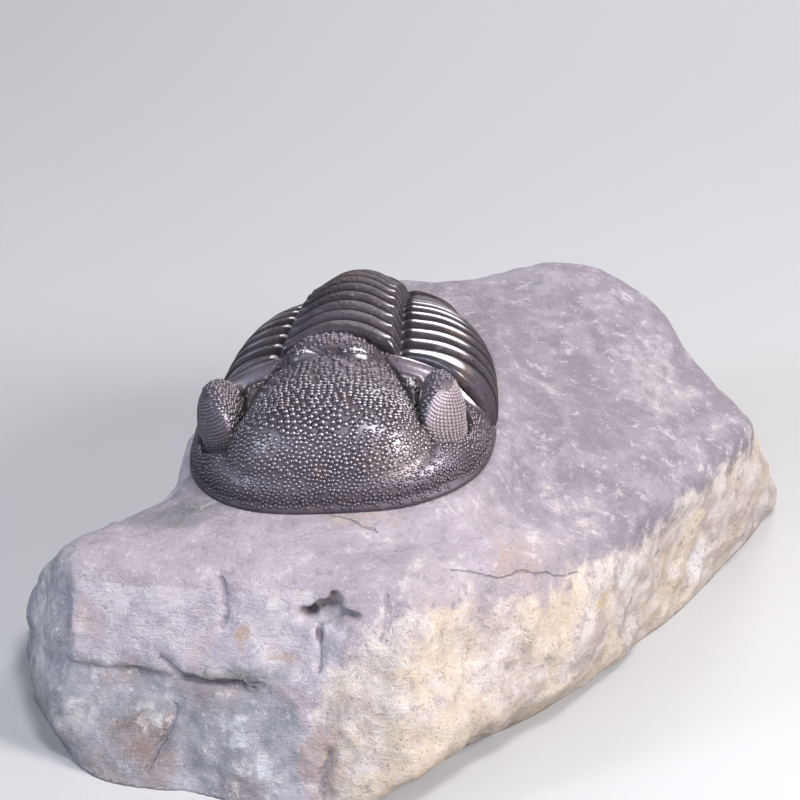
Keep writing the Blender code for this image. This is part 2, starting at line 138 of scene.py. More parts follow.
# The axis is this much of a half circle's arc, in radians to a side
AXIS_ARC = 1.12
# A notch along each side of the axis, and its width
FURROW_NOTCH = 0.4
FURROW_NOTCH_WIDTH = 0.4
# Evens out the columns on the flanks
FLANK_EVEN = 1.2
FLANK_HALF = 14.0
# The right flank is wider than the left by twice this share
FLANK_SKEW = 0.08
FLANK_POWER = 2.7
FLANK_POWER_LOSS = 0.022
AXIS_NARROWING = 0.09
FLANK_NARROWING = 0.0095
RIB_RELIEF = 0.7
RIB_ROUND = 0.45
RIB_FADE = 5
# The ribs are lower on the axis, where a knob stands at each side
AXIS_RIB_SHARE = 0.75
KNOB_RELIEF = 0.4
KNOB_PLACE = 0.82
KNOB_WIDTH = 0.11
# The first ring dips under the head by this much, and reaches this far under it
TUCK_DEPTH = 0.8
TUCK_LENGTH = 0.8
# At its flanks it reaches further, and draws in by a share of its width
TUCK_FLANK = 1.3
TUCK_NARROWING = 0.03
RING_GAP = 0.03
# Columns across a ring, within 1 on the axis and up to 2 on the flanks, and rows along it, closer at its ends
RING_ANGLES = np.linspace(-2.0, 2.0, 161)
RING_STATIONS = 0.5 - 0.5 * np.cos(np.linspace(0.0, math.pi, 15))
TAIL_LENGTH = 6.8
TAIL_RINGS = 5
TAIL_STATIONS = 60
TAIL_END = 0.985
TAIL_ARCH = 0.8
TAIL_RELIEF = 0.3
# The outline of the seat closes at this length
FOSSIL_LENGTH = 45.5

# Rock faces: outward direction in plan, lean of that direction above level, and a point on the face
ROCK_FACES = (
    ("right top", -30.0, 68.0, (9.5, 1.0, 22.3)),
    ("front top", -120.0, 77.0, (-7.0, -10.0, 22.7)),
    ("left front", -106.6, 23.0, (-17.0, -24.8, 0.0)),
    ("right front near", -47.4, 18.4, (4.8, -18.2, 20.0)),
    ("right front far", -31.2, -5.3, (25.6, 4.0, 0.0)),
    ("under the tip", -20.0, -35.0, (37.0, 16.5, 3.0)),
    ("right end", 23.9, 28.5, (33.0, 26.5, 17.5)),
    ("back", 85.0, 5.0, (14.0, 37.5, 20.0)),
    ("behind the tail", 128.0, 8.0, (9.0, 36.3, 25.9)),
    ("left end", 190.0, 8.0, (-33.8, -15.0, 10.0)),
    ("under the left end", 205.0, -25.0, (-33.6, -17.5, 2.5)),
    ("front under", -44.5, -47.6, (24.0, 2.0, 0.0)),
)
# Plates that stand proud of the left front face: how far, their reach in x, and in z
PLATES = (
    ("upper plate", 0.4, (-31.5, -14.0), (10.4, 40.0)),
    ("lower left plate", 0.4, (-40.0, -22.8), (-5.0, 7.6)),
)
PLATE_EDGE = 0.6
# The star-shaped pit: middles and radii of its body, its deep hole and its arms
PITS = (
    ((-6.9, -20.2, 17.9), (1.9, 2.3, 1.15)),
    ((-8.6, -19.5, 17.2), (1.1, 2.6, 0.85)),
    ((-6.2, -19.8, 19.1), (0.8, 1.3, 0.8)),
    ((-4.9, -20.7, 17.9), (1.3, 1.0, 0.5)),
    ((-7.7, -20.6, 16.2), (0.5, 1.2, 1.2)),
)
PIT_EASE = 0.35
# Cracks and grooves: name, the face they run on, depth and width in the stone, width of the painted shade
# line, route
CUTS = (
    ("right crack", -60.0, 45.0, 0.12, 0.35, 0.09, (
        (4.9, -15.7, 20.2), (6.8, -15.3, 19.8), (8.4, -15.3, 18.9), (10.6, -14.1, 18.5), (12.3, -12.7, 18.2),
        (15.3, -10.4, 16.3), (17.3, -8.3, 15.2))),
    ("crack by the head", -120.0, 77.0, 0.12, 0.35, 0.10, (
        (-6.8, -9.9, 22.5), (-3.5, -11.7, 22.5), (-2.1, -12.2, 22.1))),
    ("crack under the pit", -106.0, 23.0, 0.25, 0.35, 0.13, (
        (-7.7, -20.5, 15.7), (-7.4, -21.2, 14.2), (-7.6, -21.9, 12.7))),
    ("corner crack", -80.0, 15.0, 0.5, 0.6, 0.24, (
        (-6.8, -25.7, 5.6), (-7.3, -26.4, 3.6), (-7.1, -27.1, 1.2))),
    ("upright groove", -106.0, 23.0, 0.35, 0.45, 0.30, (
        (-17.0, -16.2, 19.4), (-16.7, -17.5, 18.1), (-16.8, -18.0, 16.8), (-17.1, -18.4, 15.4))),
    ("bent hollow", -60.0, 20.0, 0.35, 0.6, 0.34, (
        (-1.0, -20.2, 19.8), (-0.8, -21.5, 18.3), (-1.5, -22.6, 16.2))),
    ("under the ledge", -106.0, 23.0, 0.5, 0.5, 0.30, (
        (-23.0, -18.3, 11.7), (-20.5, -19.0, 9.9), (-17.1, -20.1, 9.8), (-13.1, -21.3, 10.6))),
    ("lower step", -106.0, 23.0, 0.4, 0.5, 0.20, (
        (-21.7, -20.0, 7.6), (-21.9, -20.9, 5.4), (-23.3, -21.0, 3.4), (-24.2, -21.9, 1.2))),
)
# Share of the depth towards a face that is left out where a distance on that face is meant
FLATTENING = 0.9
# Two faces that meet in a hollow
LEFT_BACK_EASE = 4.0
LEFT_BACK_FACES = (
    ("left back", 129.0, 40.0, (-26.0, -4.2, 20.0)),
    ("left side of the tail end", 180.0, 5.0, (-8.0, 30.0, 10.0)),
)
ROCK_ROUND = 0.7
# The cream stone starts this deep under the top, deeper towards the left, and its limit in x
CREAM_DEPTH = 2.4
CREAM_SLANT = 0.8
CREAM_LIMIT = (-10.5, -5.5)
# The pink slab on the left front: its ends in x and its foot in z. Under it the stone is blue, up to a limit
SLAB_LEFT = (-33.4, -29.6)
SLAB_RIGHT = (-9.0, -2.0)
SLAB_FOOT = (9.2, 12.4)
BLUE_LIMIT = (-12.0, -7.0)
# Lumps: least and greatest wave length, and height
ROCK_WAVES = ((14.0, 24.0, 0.16), (7.0, 12.0, 0.07))
WAVES_IN_BAND = 6
ROCK_SEED = 7
# Roughness of the stone: its broken scales, lumps and grains, and how far and how finely the scales are bent
ROUGHNESS = {"Scale height": 1.0, "Scale size": 4.5, "Lump height": 0.9, "Lump size": 2.6,
             "Grain height": 0.3, "Grain size": 0.9}
BEND = 2.0
BEND_SIZE = 2.5

# The raised stone that the fossil lies on
PEDESTAL_MARGIN = 1.0
SEAT_MARGIN = 1.6
PEDESTAL_SPREAD = 0.12
PEDESTAL_ROUND = 2.5
PEDESTAL_JOIN = 2.0
SEAT_SLOPE = 2.0
SEAT_EDGE = 0.1

# Grids on which the two fields are meshed
ROCK_STEP = 0.36
ROCK_LOW = (-42.0, -41.3, -3.0)
ROCK_HIGH = (46.0, 46.0, 32.0)
HEAD_STEP = 0.185
HEAD_LOW = (-17.5, -1.5, -1.5)
HEAD_HIGH = (17.5, 19.5, 13.5)
# Only grid points near the surface are worked out in full. The rest take the value of a grid this much
# coarser, and near means within so many of its cells.
COARSE = 4
COARSE_REACH = 1.9
# A mesh is drawn onto its field so often, each time by this share of the way
PULLS = 3
PULL_SHARE = 0.9
# A field built of powers changes faster than distance does. This brings it near.
NEAR_DISTANCE = 0.9


def smooth_least(a, b, ease):
    """The lesser of two fields, with the crease between them filled over a width ease."""
    near = np.maximum(ease - np.abs(a - b), 0.0) / ease
    return np.minimum(a, b) - near * near * ease * 0.25


def smooth_most(a, b, ease):
    """The greater of two fields, with the edge between them rounded over a width ease."""
    return -smooth_least(-a, -b, ease)


def step_up(value, low, high):
    """0 below low and 1 above high, with a smooth rise between them."""
    t = np.clip((value - low) / (high - low), 0.0, 1.0)
    return t * t * (3.0 - 2.0 * t)


def step_down(value, low, high):
    """1 below low and 0 above high."""
    return 1.0 - step_up(value, low, high)


def hump(value, width):
    """A bell of height 1 at 0."""
    return np.exp(-(value / width) ** 2)


def ellipsoid(x, y, z, radii):
    """About the distance to an ellipsoid at the origin."""
    a, b, c = radii
    near = np.sqrt((x / a) ** 2 + (y / b) ** 2 + (z / c) ** 2) + 1e-9
    slope = np.sqrt((x / a / a) ** 2 + (y / b / b) ** 2 + (z / c / c) ** 2) + 1e-9
    return near * (near - 1.0) / slope


def blunt_length(a, b, power):
    """The length of a corner's two legs, where a greater power makes for a blunter form."""
    return (np.abs(a) ** power + np.abs(b) ** power + 1e-12) ** (1.0 / power)


def blunt_dome(x, y, z, radii):
    """About the distance to a dome whose outline from above is blunter than an ellipse."""
    a, b, c = radii
    near = blunt_length(blunt_length(x / a, y / b, SHIELD_BLUNT), z / c, SHIELD_ARCH)
    reach = np.sqrt(x * x + y * y + z * z) + 1e-9
    return (near - 1.0) * reach / near * NEAR_DISTANCE


def eye_field(side, y, z):
    """One eye, curled round its own middle like a bean."""
    cx, cy, cz = EYE_CENTRE
    x = side - cx + EYE_CURL * (y - cy) ** 2 - EYE_INWARD
    return ellipsoid(x, y - cy, z - cz, EYE_RADII)


def node_field(side, y, z):
    """The two nodes in front of the occipital ring."""
    nx, ny, nz = NODE_CENTRE
    return ellipsoid(side - nx, y - ny, z - nz, NODE_RADII)


def glabella_field(side, y, z):
    """The glabella, wide in front and narrowing towards the occipital ring."""
    half = GLABELLA_WIDE - GLABELLA_TAPER * np.maximum(y - GLABELLA_TAPER_FROM, 0.0)
    a = side / half
    b = np.maximum(GLABELLA_MIDDLE_Y - y, 0.0) / GLABELLA_REACH_Y
    neck_from, neck_to, neck_drop = GLABELLA_NECK
    c = (z - GLABELLA_FOOT_Z) / (GLABELLA_REACH_Z - neck_drop * step_up(y, neck_from, neck_to))
    near = blunt_length(blunt_length(a, b, GLABELLA_BLUNT), c, GLABELLA_POWER)
    body = (near - 1.0) * GLABELLA_REACH_Z * NEAR_DISTANCE
    return smooth_most(body, y - GLABELLA_END, GLABELLA_END_ROUND)


def ring_field(side, y, z):
    """The occipital ring, an arch across the rear of the head."""
    tall = RING_TOP_Z - RING_FOOT_Z
    near = blunt_length(side / RING_HALF_WIDTH, (z - RING_FOOT_Z) / tall, RING_POWER)
    arch = (near - 1.0) * tall * NEAR_DISTANCE
    return smooth_most(arch, np.abs(y - RING_Y) - RING_HALF_LENGTH, RING_ROUND)


def head_sides(points):
    """Each point's distance from the head's own middle line, its length from the front and its height."""
    y = points[..., 1]
    return np.abs(points[..., 0] + HEAD_LEAN * y), y, points[..., 2]


def head_field(points):
    """The head shield as one form: cheeks, rim, glabella, occipital ring and eyes."""
    side, y, z = head_sides(points)
    cx, cy, cz = SHIELD_CENTRE
    wide = SHIELD_RADII[0]
    rear = y - REAR_MARGIN - sweep(side)
    rise = REAR_RISE * step_up(rear, -2.0 * REAR_BAR, -REAR_BAR) * step_down(side, 0.75 * wide, wide)
    fair = side / (1.0 + SHIELD_SKEW * np.sign(points[..., 0]))
    shield = blunt_dome(fair - cx, y - cy, z - cz - rise, SHIELD_RADII)
    glabella = glabella_field(side, y, z)
    eye = eye_field(side, y, z)
    shield -= RIM_RELIEF * hump(z - 0.5 * RIM_TOP, RIM_WIDTH)
    shield += RIM_RELIEF * hump(z - RIM_FURROW_HEIGHT, RIM_FURROW_WIDTH)
    bar = REAR_BAR_RELIEF * step_up(z, *REAR_BAR_LEVELS)
    shield -= bar * hump(rear + 0.5 * REAR_BAR, 0.5 * REAR_BAR)
    shield += bar * hump(rear + 1.5 * REAR_BAR, 0.35 * REAR_BAR)
    shield += EYE_GROOVE * hump(eye - EYE_GROOVE_OFF, EYE_GROOVE_WIDTH)
    shield += GLABELLA_FURROW * step_up(z, 1.0, 4.5) * hump(glabella, GLABELLA_FURROW_WIDTH)
    whole = smooth_least(shield, glabella, GLABELLA_EASE * (1.2 - step_up(z, 2.0, 5.0)))
    whole = smooth_least(whole, ring_field(side, y, z), HEAD_EASE)
    whole = smooth_least(whole, node_field(side, y, z), HEAD_EASE)
    whole = smooth_least(whole, eye, 0.4 * HEAD_EASE)
    rounding = REAR_ROUND + (CORNER_ROUND - REAR_ROUND) * step_up(side, 0.7 * wide, 0.95 * wide)
    return smooth_most(whole, rear, rounding)


def fossil_axes():
    """The fossil's own axes as they lie on the rock, one to a column."""
    yaw, roll, pitch = (math.radians(a) for a in (FOSSIL_YAW, FOSSIL_ROLL, FOSSIL_PITCH))
    turn = [[math.cos(yaw), math.sin(yaw), 0], [-math.sin(yaw), math.cos(yaw), 0], [0, 0, 1]]
    tip = [[math.cos(roll), 0, -math.sin(roll)], [0, 1, 0], [math.sin(roll), 0, math.cos(roll)]]
    lift = [[1, 0, 0], [0, math.cos(pitch), -math.sin(pitch)], [0, math.sin(pitch), math.cos(pitch)]]
    return np.array(turn) @ np.array(tip) @ np.array(lift)


def body_bend(y):
    """How far the body has bent sideways at a length y from the front."""
    return BODY_BEND * np.maximum(y - BODY_BEND_FROM, 0.0) ** 2


def on_rock(points):
    """Points of the fossil's own frame, where they lie on the rock."""
    bent = np.array(points, dtype=float)
    bent[..., 0] += body_bend(bent[..., 1])
    return bent @ fossil_axes().T + np.array(FOSSIL_FRONT)


def off_rock(points):
    """Points on the rock, in the fossil's own frame."""
    own = (np.asarray(points) - np.array(FOSSIL_FRONT)) @ fossil_axes()
    own[..., 0] -= body_bend(own[..., 1])
    return own


def crest(s):
    """The thorax crest at a length s behind the head: its y, its z and its slope."""
    steps = np.arange(0.0, CREST_REACH, CREST_STEP)
    slope = np.radians(THORAX_RISE - THORAX_FALL * step_up(steps, *THORAX_FALLS))
    y = THORAX_START[0] + np.cumsum(np.cos(slope)) * CREST_STEP
    z = THORAX_START[1] + np.cumsum(np.sin(slope)) * CREST_STEP
    return np.interp(s, steps, y), np.interp(s, steps, z), np.interp(s, steps, slope)


def sweep(x):
    """How far back a ring's edge lies at a distance x from the middle line."""
    return RING_BOW * hump(x, RING_BOW_WIDTH) - REAR_CURVE * x * x


def ring_row(s, angles, proud):
    """One row of points across the thorax at length s, and the foot of each on the seat plane.

    angles run from -2 to 2: the axial lobe lies within 1, and the flanks beyond. proud is the relief of
    each point above the plain form."""
    y, z, slope = crest(s)
    axis = AXIS_HALF - AXIS_NARROWING * s
    flank = (FLANK_HALF - FLANK_NARROWING * s * s) * (1.0 + FLANK_SKEW * np.sign(angles))
    power = FLANK_POWER - FLANK_POWER_LOSS * s
    full = z / math.cos(slope)
    furrow = min(AXIS_RELIEF, AXIS_SHARE * full)
    part = np.abs(angles)
    lobe = np.minimum(part, 1.0) * AXIS_ARC
    side = np.maximum(part - 1.0, 0.0) ** FLANK_EVEN * math.pi / 2
    over_axis = axis * np.sin(lobe) / math.sin(AXIS_ARC)
    x = np.where(part < 1.0, over_axis, axis + (flank - axis) * np.sin(side) ** (2 / power))
    lobe_depth = furrow * (1.0 - np.cos(lobe)) / (1.0 - math.cos(AXIS_ARC))
    notch = FURROW_NOTCH * hump(x - axis, FURROW_NOTCH_WIDTH)
    share = 1.0 - np.maximum(np.cos(side), 0.0) ** (2 / power)
    side_depth = furrow + (full - furrow) * share
    depth = np.where(part < 1.0, lobe_depth, side_depth)
    x = np.copysign(x + proud * step_up(part, 1.0, 2.0), angles)
    depth = depth + notch - proud * step_down(part, 1.2, 2.0)
    back = y + sweep(x) - sweep(0.0)
    top = np.stack([x, back + depth * math.sin(slope), z - depth * math.cos(slope)], axis=-1)
    foot = np.stack([x, back + full * math.sin(slope), np.zeros_like(x)], axis=-1)
    return top, foot


def plank(rows, feet):
    """A closed mesh under rows of points that all end on the seat plane."""
    rows = np.array(rows)
    lines, count = rows.shape[:2]
    points = np.concatenate([rows.reshape(-1, 3), feet[0][1:-1], feet[-1][1:-1]])
    first_foot = lines * count
    front = [0] + [first_foot + j for j in range(count - 2)] + [count - 1]
    last_row = (lines - 1) * count
    second = first_foot + count - 2
    rear = [last_row] + [second + j for j in range(count - 2)] + [last_row + count - 1]
    faces = []
    for i in range(lines - 1):
        for j in range(count - 1):
            a = i * count + j
            faces.append((a, a + 1, a + 1 + count, a + count))
    for j in range(count - 1):
        faces.append((j + 1, j, front[j], front[j + 1]))
        faces.append((last_row + j, last_row + j + 1, rear[j + 1], rear[j]))
        faces.append((front[j + 1], front[j], rear[j], rear[j + 1]))
    faces.append(tuple(i * count for i in range(lines)))
    faces.append(tuple(i * count + count - 1 for i in reversed(range(lines))))
    tidy = []
    for face in faces:
        kept = [v for k, v in enumerate(face) if v != face[k - 1]]
        if len(kept) > 2:
            tidy.append(tuple(kept))
    return points, tidy


def segment_span(number):
    """Where a ring starts behind the head, and its length. The rings shorten towards the tail."""
    start = 0.0
    for n in range(number):
        start += SEGMENT_LENGTH - SEGMENT_SHRINK * n
    return start, SEGMENT_LENGTH - SEGMENT_SHRINK * number


def ring_relief(t, angles):
    """The relief of a ring at a share t of its length: a rib that fades down the steep flank."""
    part = np.abs(angles)
    across = AXIS_RIB_SHARE + (1.0 - AXIS_RIB_SHARE) * step_up(part, 0.45, 0.8)
    rib = RIB_RELIEF * across * max(math.sin(math.pi * t), 0.0) ** RIB_ROUND
    knob = KNOB_RELIEF * hump(part - KNOB_PLACE, KNOB_WIDTH) * max(math.sin(math.pi * t), 0.0)
    return (rib + knob) * (1.0 - (part / 2.0) ** RIB_FADE)


def segment_mesh(number):
    """One ring of the thorax, convex from front to rear."""
    start, length = segment_span(number)
    if number == 0:
        start, length = start - TUCK_LENGTH, length + TUCK_LENGTH
    rows = []
    feet = []
    for t in RING_STATIONS:
        s = start + 0.5 * RING_GAP + t * (length - RING_GAP)
        relief = ring_relief(t, RING_ANGLES)
        if number == 0:
            relief = relief - TUCK_DEPTH * step_down(t, 0.0, 0.4)
        top, foot = ring_row(s, RING_ANGLES, relief)
        if number == 0:
            for row in (top, foot):
                row[:, 0] *= 1.0 - TUCK_NARROWING * (1.0 - t)
                row[:, 1] -= TUCK_FLANK * (1.0 - t) * step_up(np.abs(RING_ANGLES), 1.1, 1.6)
        rows.append(top)
        feet.append(foot)
    return plank(rows, feet)


def tail_mesh():
    """The tail shield, which closes behind the last ring in a rounded end."""
    begin = segment_span(SEGMENTS)[0] + 0.5 * RING_GAP
    flat = 0.0 * RING_ANGLES
    base_top, base_foot = ring_row(begin, RING_ANGLES, flat)
    rows = []
    feet = []
    for i in range(TAIL_STATIONS + 1):
        t = min(i / TAIL_STATIONS, TAIL_END)
        narrow = math.sqrt(1.0 - t * t)
        low = (1.0 - t * t) ** TAIL_ARCH
        along = t * TAIL_LENGTH
        proud = TAIL_RELIEF * (0.5 - 0.5 * math.cos(2 * math.pi * TAIL_RINGS * t)) * (1.0 - t)
        lift = proud * (1.0 - (np.abs(RING_ANGLES) / 2.0) ** RIB_FADE)
        edge = base_foot[:, 1] + (base_top[:, 1] - base_foot[:, 1]) * low
        side = base_top[:, 0] * narrow
        rows.append(np.stack([side, edge + along, base_top[:, 2] * low + lift], axis=-1))
        feet.append(np.stack([side, base_foot[:, 1] + along, flat], axis=-1))
    return plank(rows, feet)


def rock_lumps(points, waves):
    """Gentle lumps: waves of fixed directions and lengths, added up."""
    rng = np.random.default_rng(ROCK_SEED)
    total = 0.0
    for low, high, size in waves:
        for _ in range(WAVES_IN_BAND):
            direction = rng.normal(size=3)
            direction *= 2 * math.pi / rng.uniform(low, high) / np.linalg.norm(direction)
            total = total + size * np.sin(points @ direction + rng.uniform(0.0, 2 * math.pi))
    return total


def footprint(own):
    """About how far a point of the fossil's frame lies outside the fossil's outline."""
    side = np.abs(own[..., 0])
    y = own[..., 1]
    _, cy, _ = SHIELD_CENTRE
    a, b, _ = SHIELD_RADII
    ahead = np.minimum(y - cy, 0.0)
    head = blunt_length(side / a, ahead / b, SHIELD_BLUNT)
    tail_from = FOSSIL_LENGTH - TAIL_LENGTH
    behind = np.clip(y - THORAX_START[0], 0.0, tail_from - THORAX_START[0])
    flank = (FLANK_HALF - FLANK_NARROWING * behind ** 2) * (1.0 + FLANK_SKEW * np.sign(own[..., 0]))
    past = np.maximum(y - tail_from, 0.0) / TAIL_LENGTH
    body = (np.sqrt((side / flank) ** 2 + past ** 2) - 1.0) * TAIL_LENGTH
    body = np.where(y < tail_from, side - flank, body)
    return np.where(y < THORAX_START[0], (head - 1.0) * NEAR_DISTANCE * b, body)


def outward(azimuth, lean):
    """A direction, from its angle in plan and its angle above level."""
    a = math.radians(azimuth)
    b = math.radians(lean)
    return np.array([math.cos(b) * math.cos(a), math.cos(b) * math.sin(a), math.sin(b)])


def broken_face(points, face):
    """The distance outside one flat face of the rock."""
    _, azimuth, lean, through = face
    return (points - np.array(through)) @ outward(azimuth, lean)


def plates(points):
    """How far the plates of the left front face stand proud of it."""
    x = points[..., 0]
    z = points[..., 2]
    total = 0.0
    for _, proud, (left, right), (low, high) in PLATES:
        across = step_up(x, left - PLATE_EDGE, left) * step_down(x, right, right + 4.0 * PLATE_EDGE)
        upward = step_up(z, low - PLATE_EDGE, low) * step_down(z, high, high + PLATE_EDGE)
        total = total + proud * across * upward
    return total


def pit_field(points):
    """The star-shaped pit in the front of the block."""
    total = None
    for centre, radii in PITS:
        x, y, z = (points[..., i] - centre[i] for i in range(3))
        one = ellipsoid(x, y, z, radii)
        total = one if total is None else smooth_least(total, one, PIT_EASE)
    return total


def flattened(points, azimuth, lean):
    """Points brought near to a plane that faces the given way."""
    out = outward(azimuth, lean)
    return points - FLATTENING * (points @ out)[..., None] * out


def cut_depth(points):
    """How deep the cracks and grooves cut at each point."""
    total = np.zeros(len(points))
    for _, azimuth, lean, depth, width, _, route in CUTS:
        own = flattened(points, azimuth, lean)
        marks = flattened(np.array(route), azimuth, lean)
        near = np.full(len(points), 1e9)
        for a, b in zip(marks[:-1], marks[1:]):
            along = np.clip(((own - a) @ (b - a)) / ((b - a) @ (b - a)), 0.0, 1.0)
            near = np.minimum(near, np.linalg.norm(own - a - along[:, None] * (b - a), axis=1))
        total = np.maximum(total, depth * hump(near, width))
    return total


def face_distances(points):
    """The distance outside each face of the block, by the face's name."""
    faces = {face[0]: broken_face(points, face) for face in ROCK_FACES}
    faces["left front"] = faces["left front"] - plates(points)
    faces["seat"] = off_rock(points)[..., 2]
    pair = (broken_face(points, face) for face in LEFT_BACK_FACES)
    faces["left back"] = smooth_least(*pair, LEFT_BACK_EASE)
    return faces


def rock_field(points):
    """The block: broken faces, a pedestal under the fossil, and the seat that the fossil lies on."""
    own = off_rock(points)
    seat = own[..., 2]
    faces = face_distances(points)
    total = sum(np.exp(np.clip(face / ROCK_ROUND, -60.0, 60.0)) for face in faces.values())
    block = ROCK_ROUND * np.log(total)
    block = block + rock_lumps(points, ROCK_WAVES)
    block = smooth_most(block, -pit_field(points), PIT_EASE)
    outside = footprint(own)
    wall = outside - PEDESTAL_MARGIN + PEDESTAL_SPREAD * own[..., 2]
    pedestal = smooth_most(seat, wall, PEDESTAL_ROUND)
    whole = smooth_least(block, pedestal, PEDESTAL_JOIN)
    clear = seat - SEAT_SLOPE * np.maximum(outside - SEAT_MARGIN, 0.0)
    return smooth_most(whole, clear, SEAT_EDGE)


def sample(field, ticks, step):
    """A field's values on a grid."""
    rough_ticks = [axis[::COARSE] for axis in ticks]
    rough = field(np.stack(np.meshgrid(*rough_ticks, indexing="ij"), axis=-1))
    nearest = [np.minimum((np.arange(len(axis)) + COARSE // 2) // COARSE, len(coarse) - 1)
               for axis, coarse in zip(ticks, rough_ticks)]
    values = rough[np.ix_(*nearest)]
    near = np.abs(values) < COARSE_REACH * COARSE * step
    spots = np.argwhere(near)
    points = np.stack([ticks[i][spots[:, i]] for i in range(3)], axis=-1)
    values[near] = field(points)
    return values


def skin(field, low, high, step):
    """The closed mesh of a field's surface, found on a grid of cells and then drawn onto the field."""
    ticks = [np.arange(a, b + step, step) for a, b in zip(low, high)]
    values = np.full([len(axis) for axis in ticks], 0.5 * step)
    values[1:-1, 1:-1, 1:-1] = sample(field, [axis[1:-1] for axis in ticks], step)
    inside = values < 0.0
    cells = tuple(n - 1 for n in values.shape)
    corners = np.zeros(cells, dtype=int)
    for i in (0, 1):
        for j in (0, 1):
            for k in (0, 1):
                corners += inside[i:i + cells[0], j:j + cells[1], k:k + cells[2]]
    live = (corners > 0) & (corners < 8)
    number = np.full(cells, -1)
    number[live] = np.arange(live.sum())
    place = np.zeros((live.sum(), 3))
    hits = np.zeros(live.sum())
    faces = []
    for axis in range(3):
        near = np.moveaxis(values, axis, 0)[:-1]
        far = np.moveaxis(values, axis, 0)[1:]
        crossing = np.moveaxis((near < 0.0) != (far < 0.0), 0, axis)
        spots = np.argwhere(crossing)
        a = np.moveaxis(near, 0, axis)[crossing]
        b = np.moveaxis(far, 0, axis)[crossing]
        where = np.stack([ticks[i][spots[:, i]] for i in range(3)], axis=-1)
        where[:, axis] += step * a / (a - b)
        one, two = (axis + 1) % 3, (axis + 2) % 3
        ring = []
        for shift_one, shift_two in ((0, 0), (-1, 0), (-1, -1), (0, -1)):
            cell = spots.copy()
            cell[:, one] += shift_one
            cell[:, two] += shift_two
            index = number[cell[:, 0], cell[:, 1], cell[:, 2]]
            np.add.at(place, index, where)
            np.add.at(hits, index, 1.0)
            ring.append(index)
        ring = np.stack(ring, axis=1)
        ring[a > 0.0] = ring[a > 0.0][:, ::-1]
        faces.append(ring)
    place /= hits[:, None]
    for _ in range(PULLS):
        place -= PULL_SHARE * pull(field, place, step)
    return place, np.concatenate(faces)


def slope_of(field, points, reach):
    """The direction in which a field rises, and how fast."""
    slope = np.zeros_like(points)
    for axis in range(3):
        shift = np.zeros(3)
        shift[axis] = reach
        slope[:, axis] = (field(points + shift) - field(points - shift)) / (2 * reach)
    return slope


def pull(field, points, step):
    """The step that would bring each point to the field's surface, never more than half a cell."""
    value = field(points)
    slope = slope_of(field, points, 0.02 * step)
    move = slope * (value / np.maximum((slope ** 2).sum(axis=1), 0.2))[:, None]
    length = np.linalg.norm(move, axis=1)[:, None]
    return move * np.minimum(1.0, 0.5 * step / np.maximum(length, 1e-9))


def cut_flat(points, faces, step):
    """The part of a closed mesh above level 0, closed there by one flat face."""
    level = points.copy()
    level[np.abs(level[:, 2]) < 0.25 * step, 2] = 0.0
    mesh = bpy.data.meshes.new("uncut")
    mesh.from_pydata(level.tolist(), [], faces.tolist())
    work = bmesh.new()
    work.from_mesh(mesh)
    bpy.data.meshes.remove(mesh)
    everything = list(work.verts) + list(work.edges) + list(work.faces)
    bmesh.ops.bisect_plane(work, geom=everything, dist=1e-5, plane_co=(0, 0, 0), plane_no=(0, 0, 1),
                           clear_inner=True)
    rim = [edge for edge in work.edges if edge.is_boundary]
    bmesh.ops.holes_fill(work, edges=rim, sides=0)
    work.verts.index_update()
    kept = np.array([tuple(v.co) for v in work.verts])
    kept[np.abs(kept[:, 2]) < 1e-4, 2] = 0.0
    shape = [tuple(v.index for v in face.verts) for face in work.faces]
    work.free()
    return kept, shape


def add_object(name, data):
    """A new object in the scene."""
    thing = bpy.data.objects.new(name, data)
    bpy.context.scene.collection.objects.link(thing)
    return thing


def keep(mesh, label, values):
    """Keeps a number or a direction with each point of a mesh."""
    kind, field = ("FLOAT", "value") if values.ndim == 1 else ("FLOAT_VECTOR", "vector")
    kept = mesh.attributes.new(label, kind, "POINT")
    kept.data.foreach_set(field, values.astype(np.float32).ravel())


def new_mesh(name, points, faces):
    """A mesh in metres around the middle of the block."""
    mesh = bpy.data.meshes.new(name)
    placed = (np.asarray(points) + np.array(WORLD_SHIFT)) * MM
    mesh.from_pydata(placed.tolist(), [], [tuple(int(v) for v in f) for f in faces])
    return mesh


def new_piece(name, points, faces, masks):
    """A named object with its mesh. masks are numbers kept with each point."""
    mesh = new_mesh(name, points, faces)
    work = bmesh.new()
    work.from_mesh(mesh)
    bmesh.ops.recalc_face_normals(work, faces=work.faces)
    work.to_mesh(mesh)
    work.free()
    mesh.shade_smooth()
    for label, values in masks.items():
        keep(mesh, label, values)
    return add_object(name, mesh)


# The camera: its height of aim over the rock's foot, distance, tilt and width of view at that distance
AIM_HEIGHT = 29.9
VIEW_DISTANCE = 400.0
VIEW_TILT = 29.0
VIEW_WIDTH = 78.0
SENSOR_WIDTH = 36.0

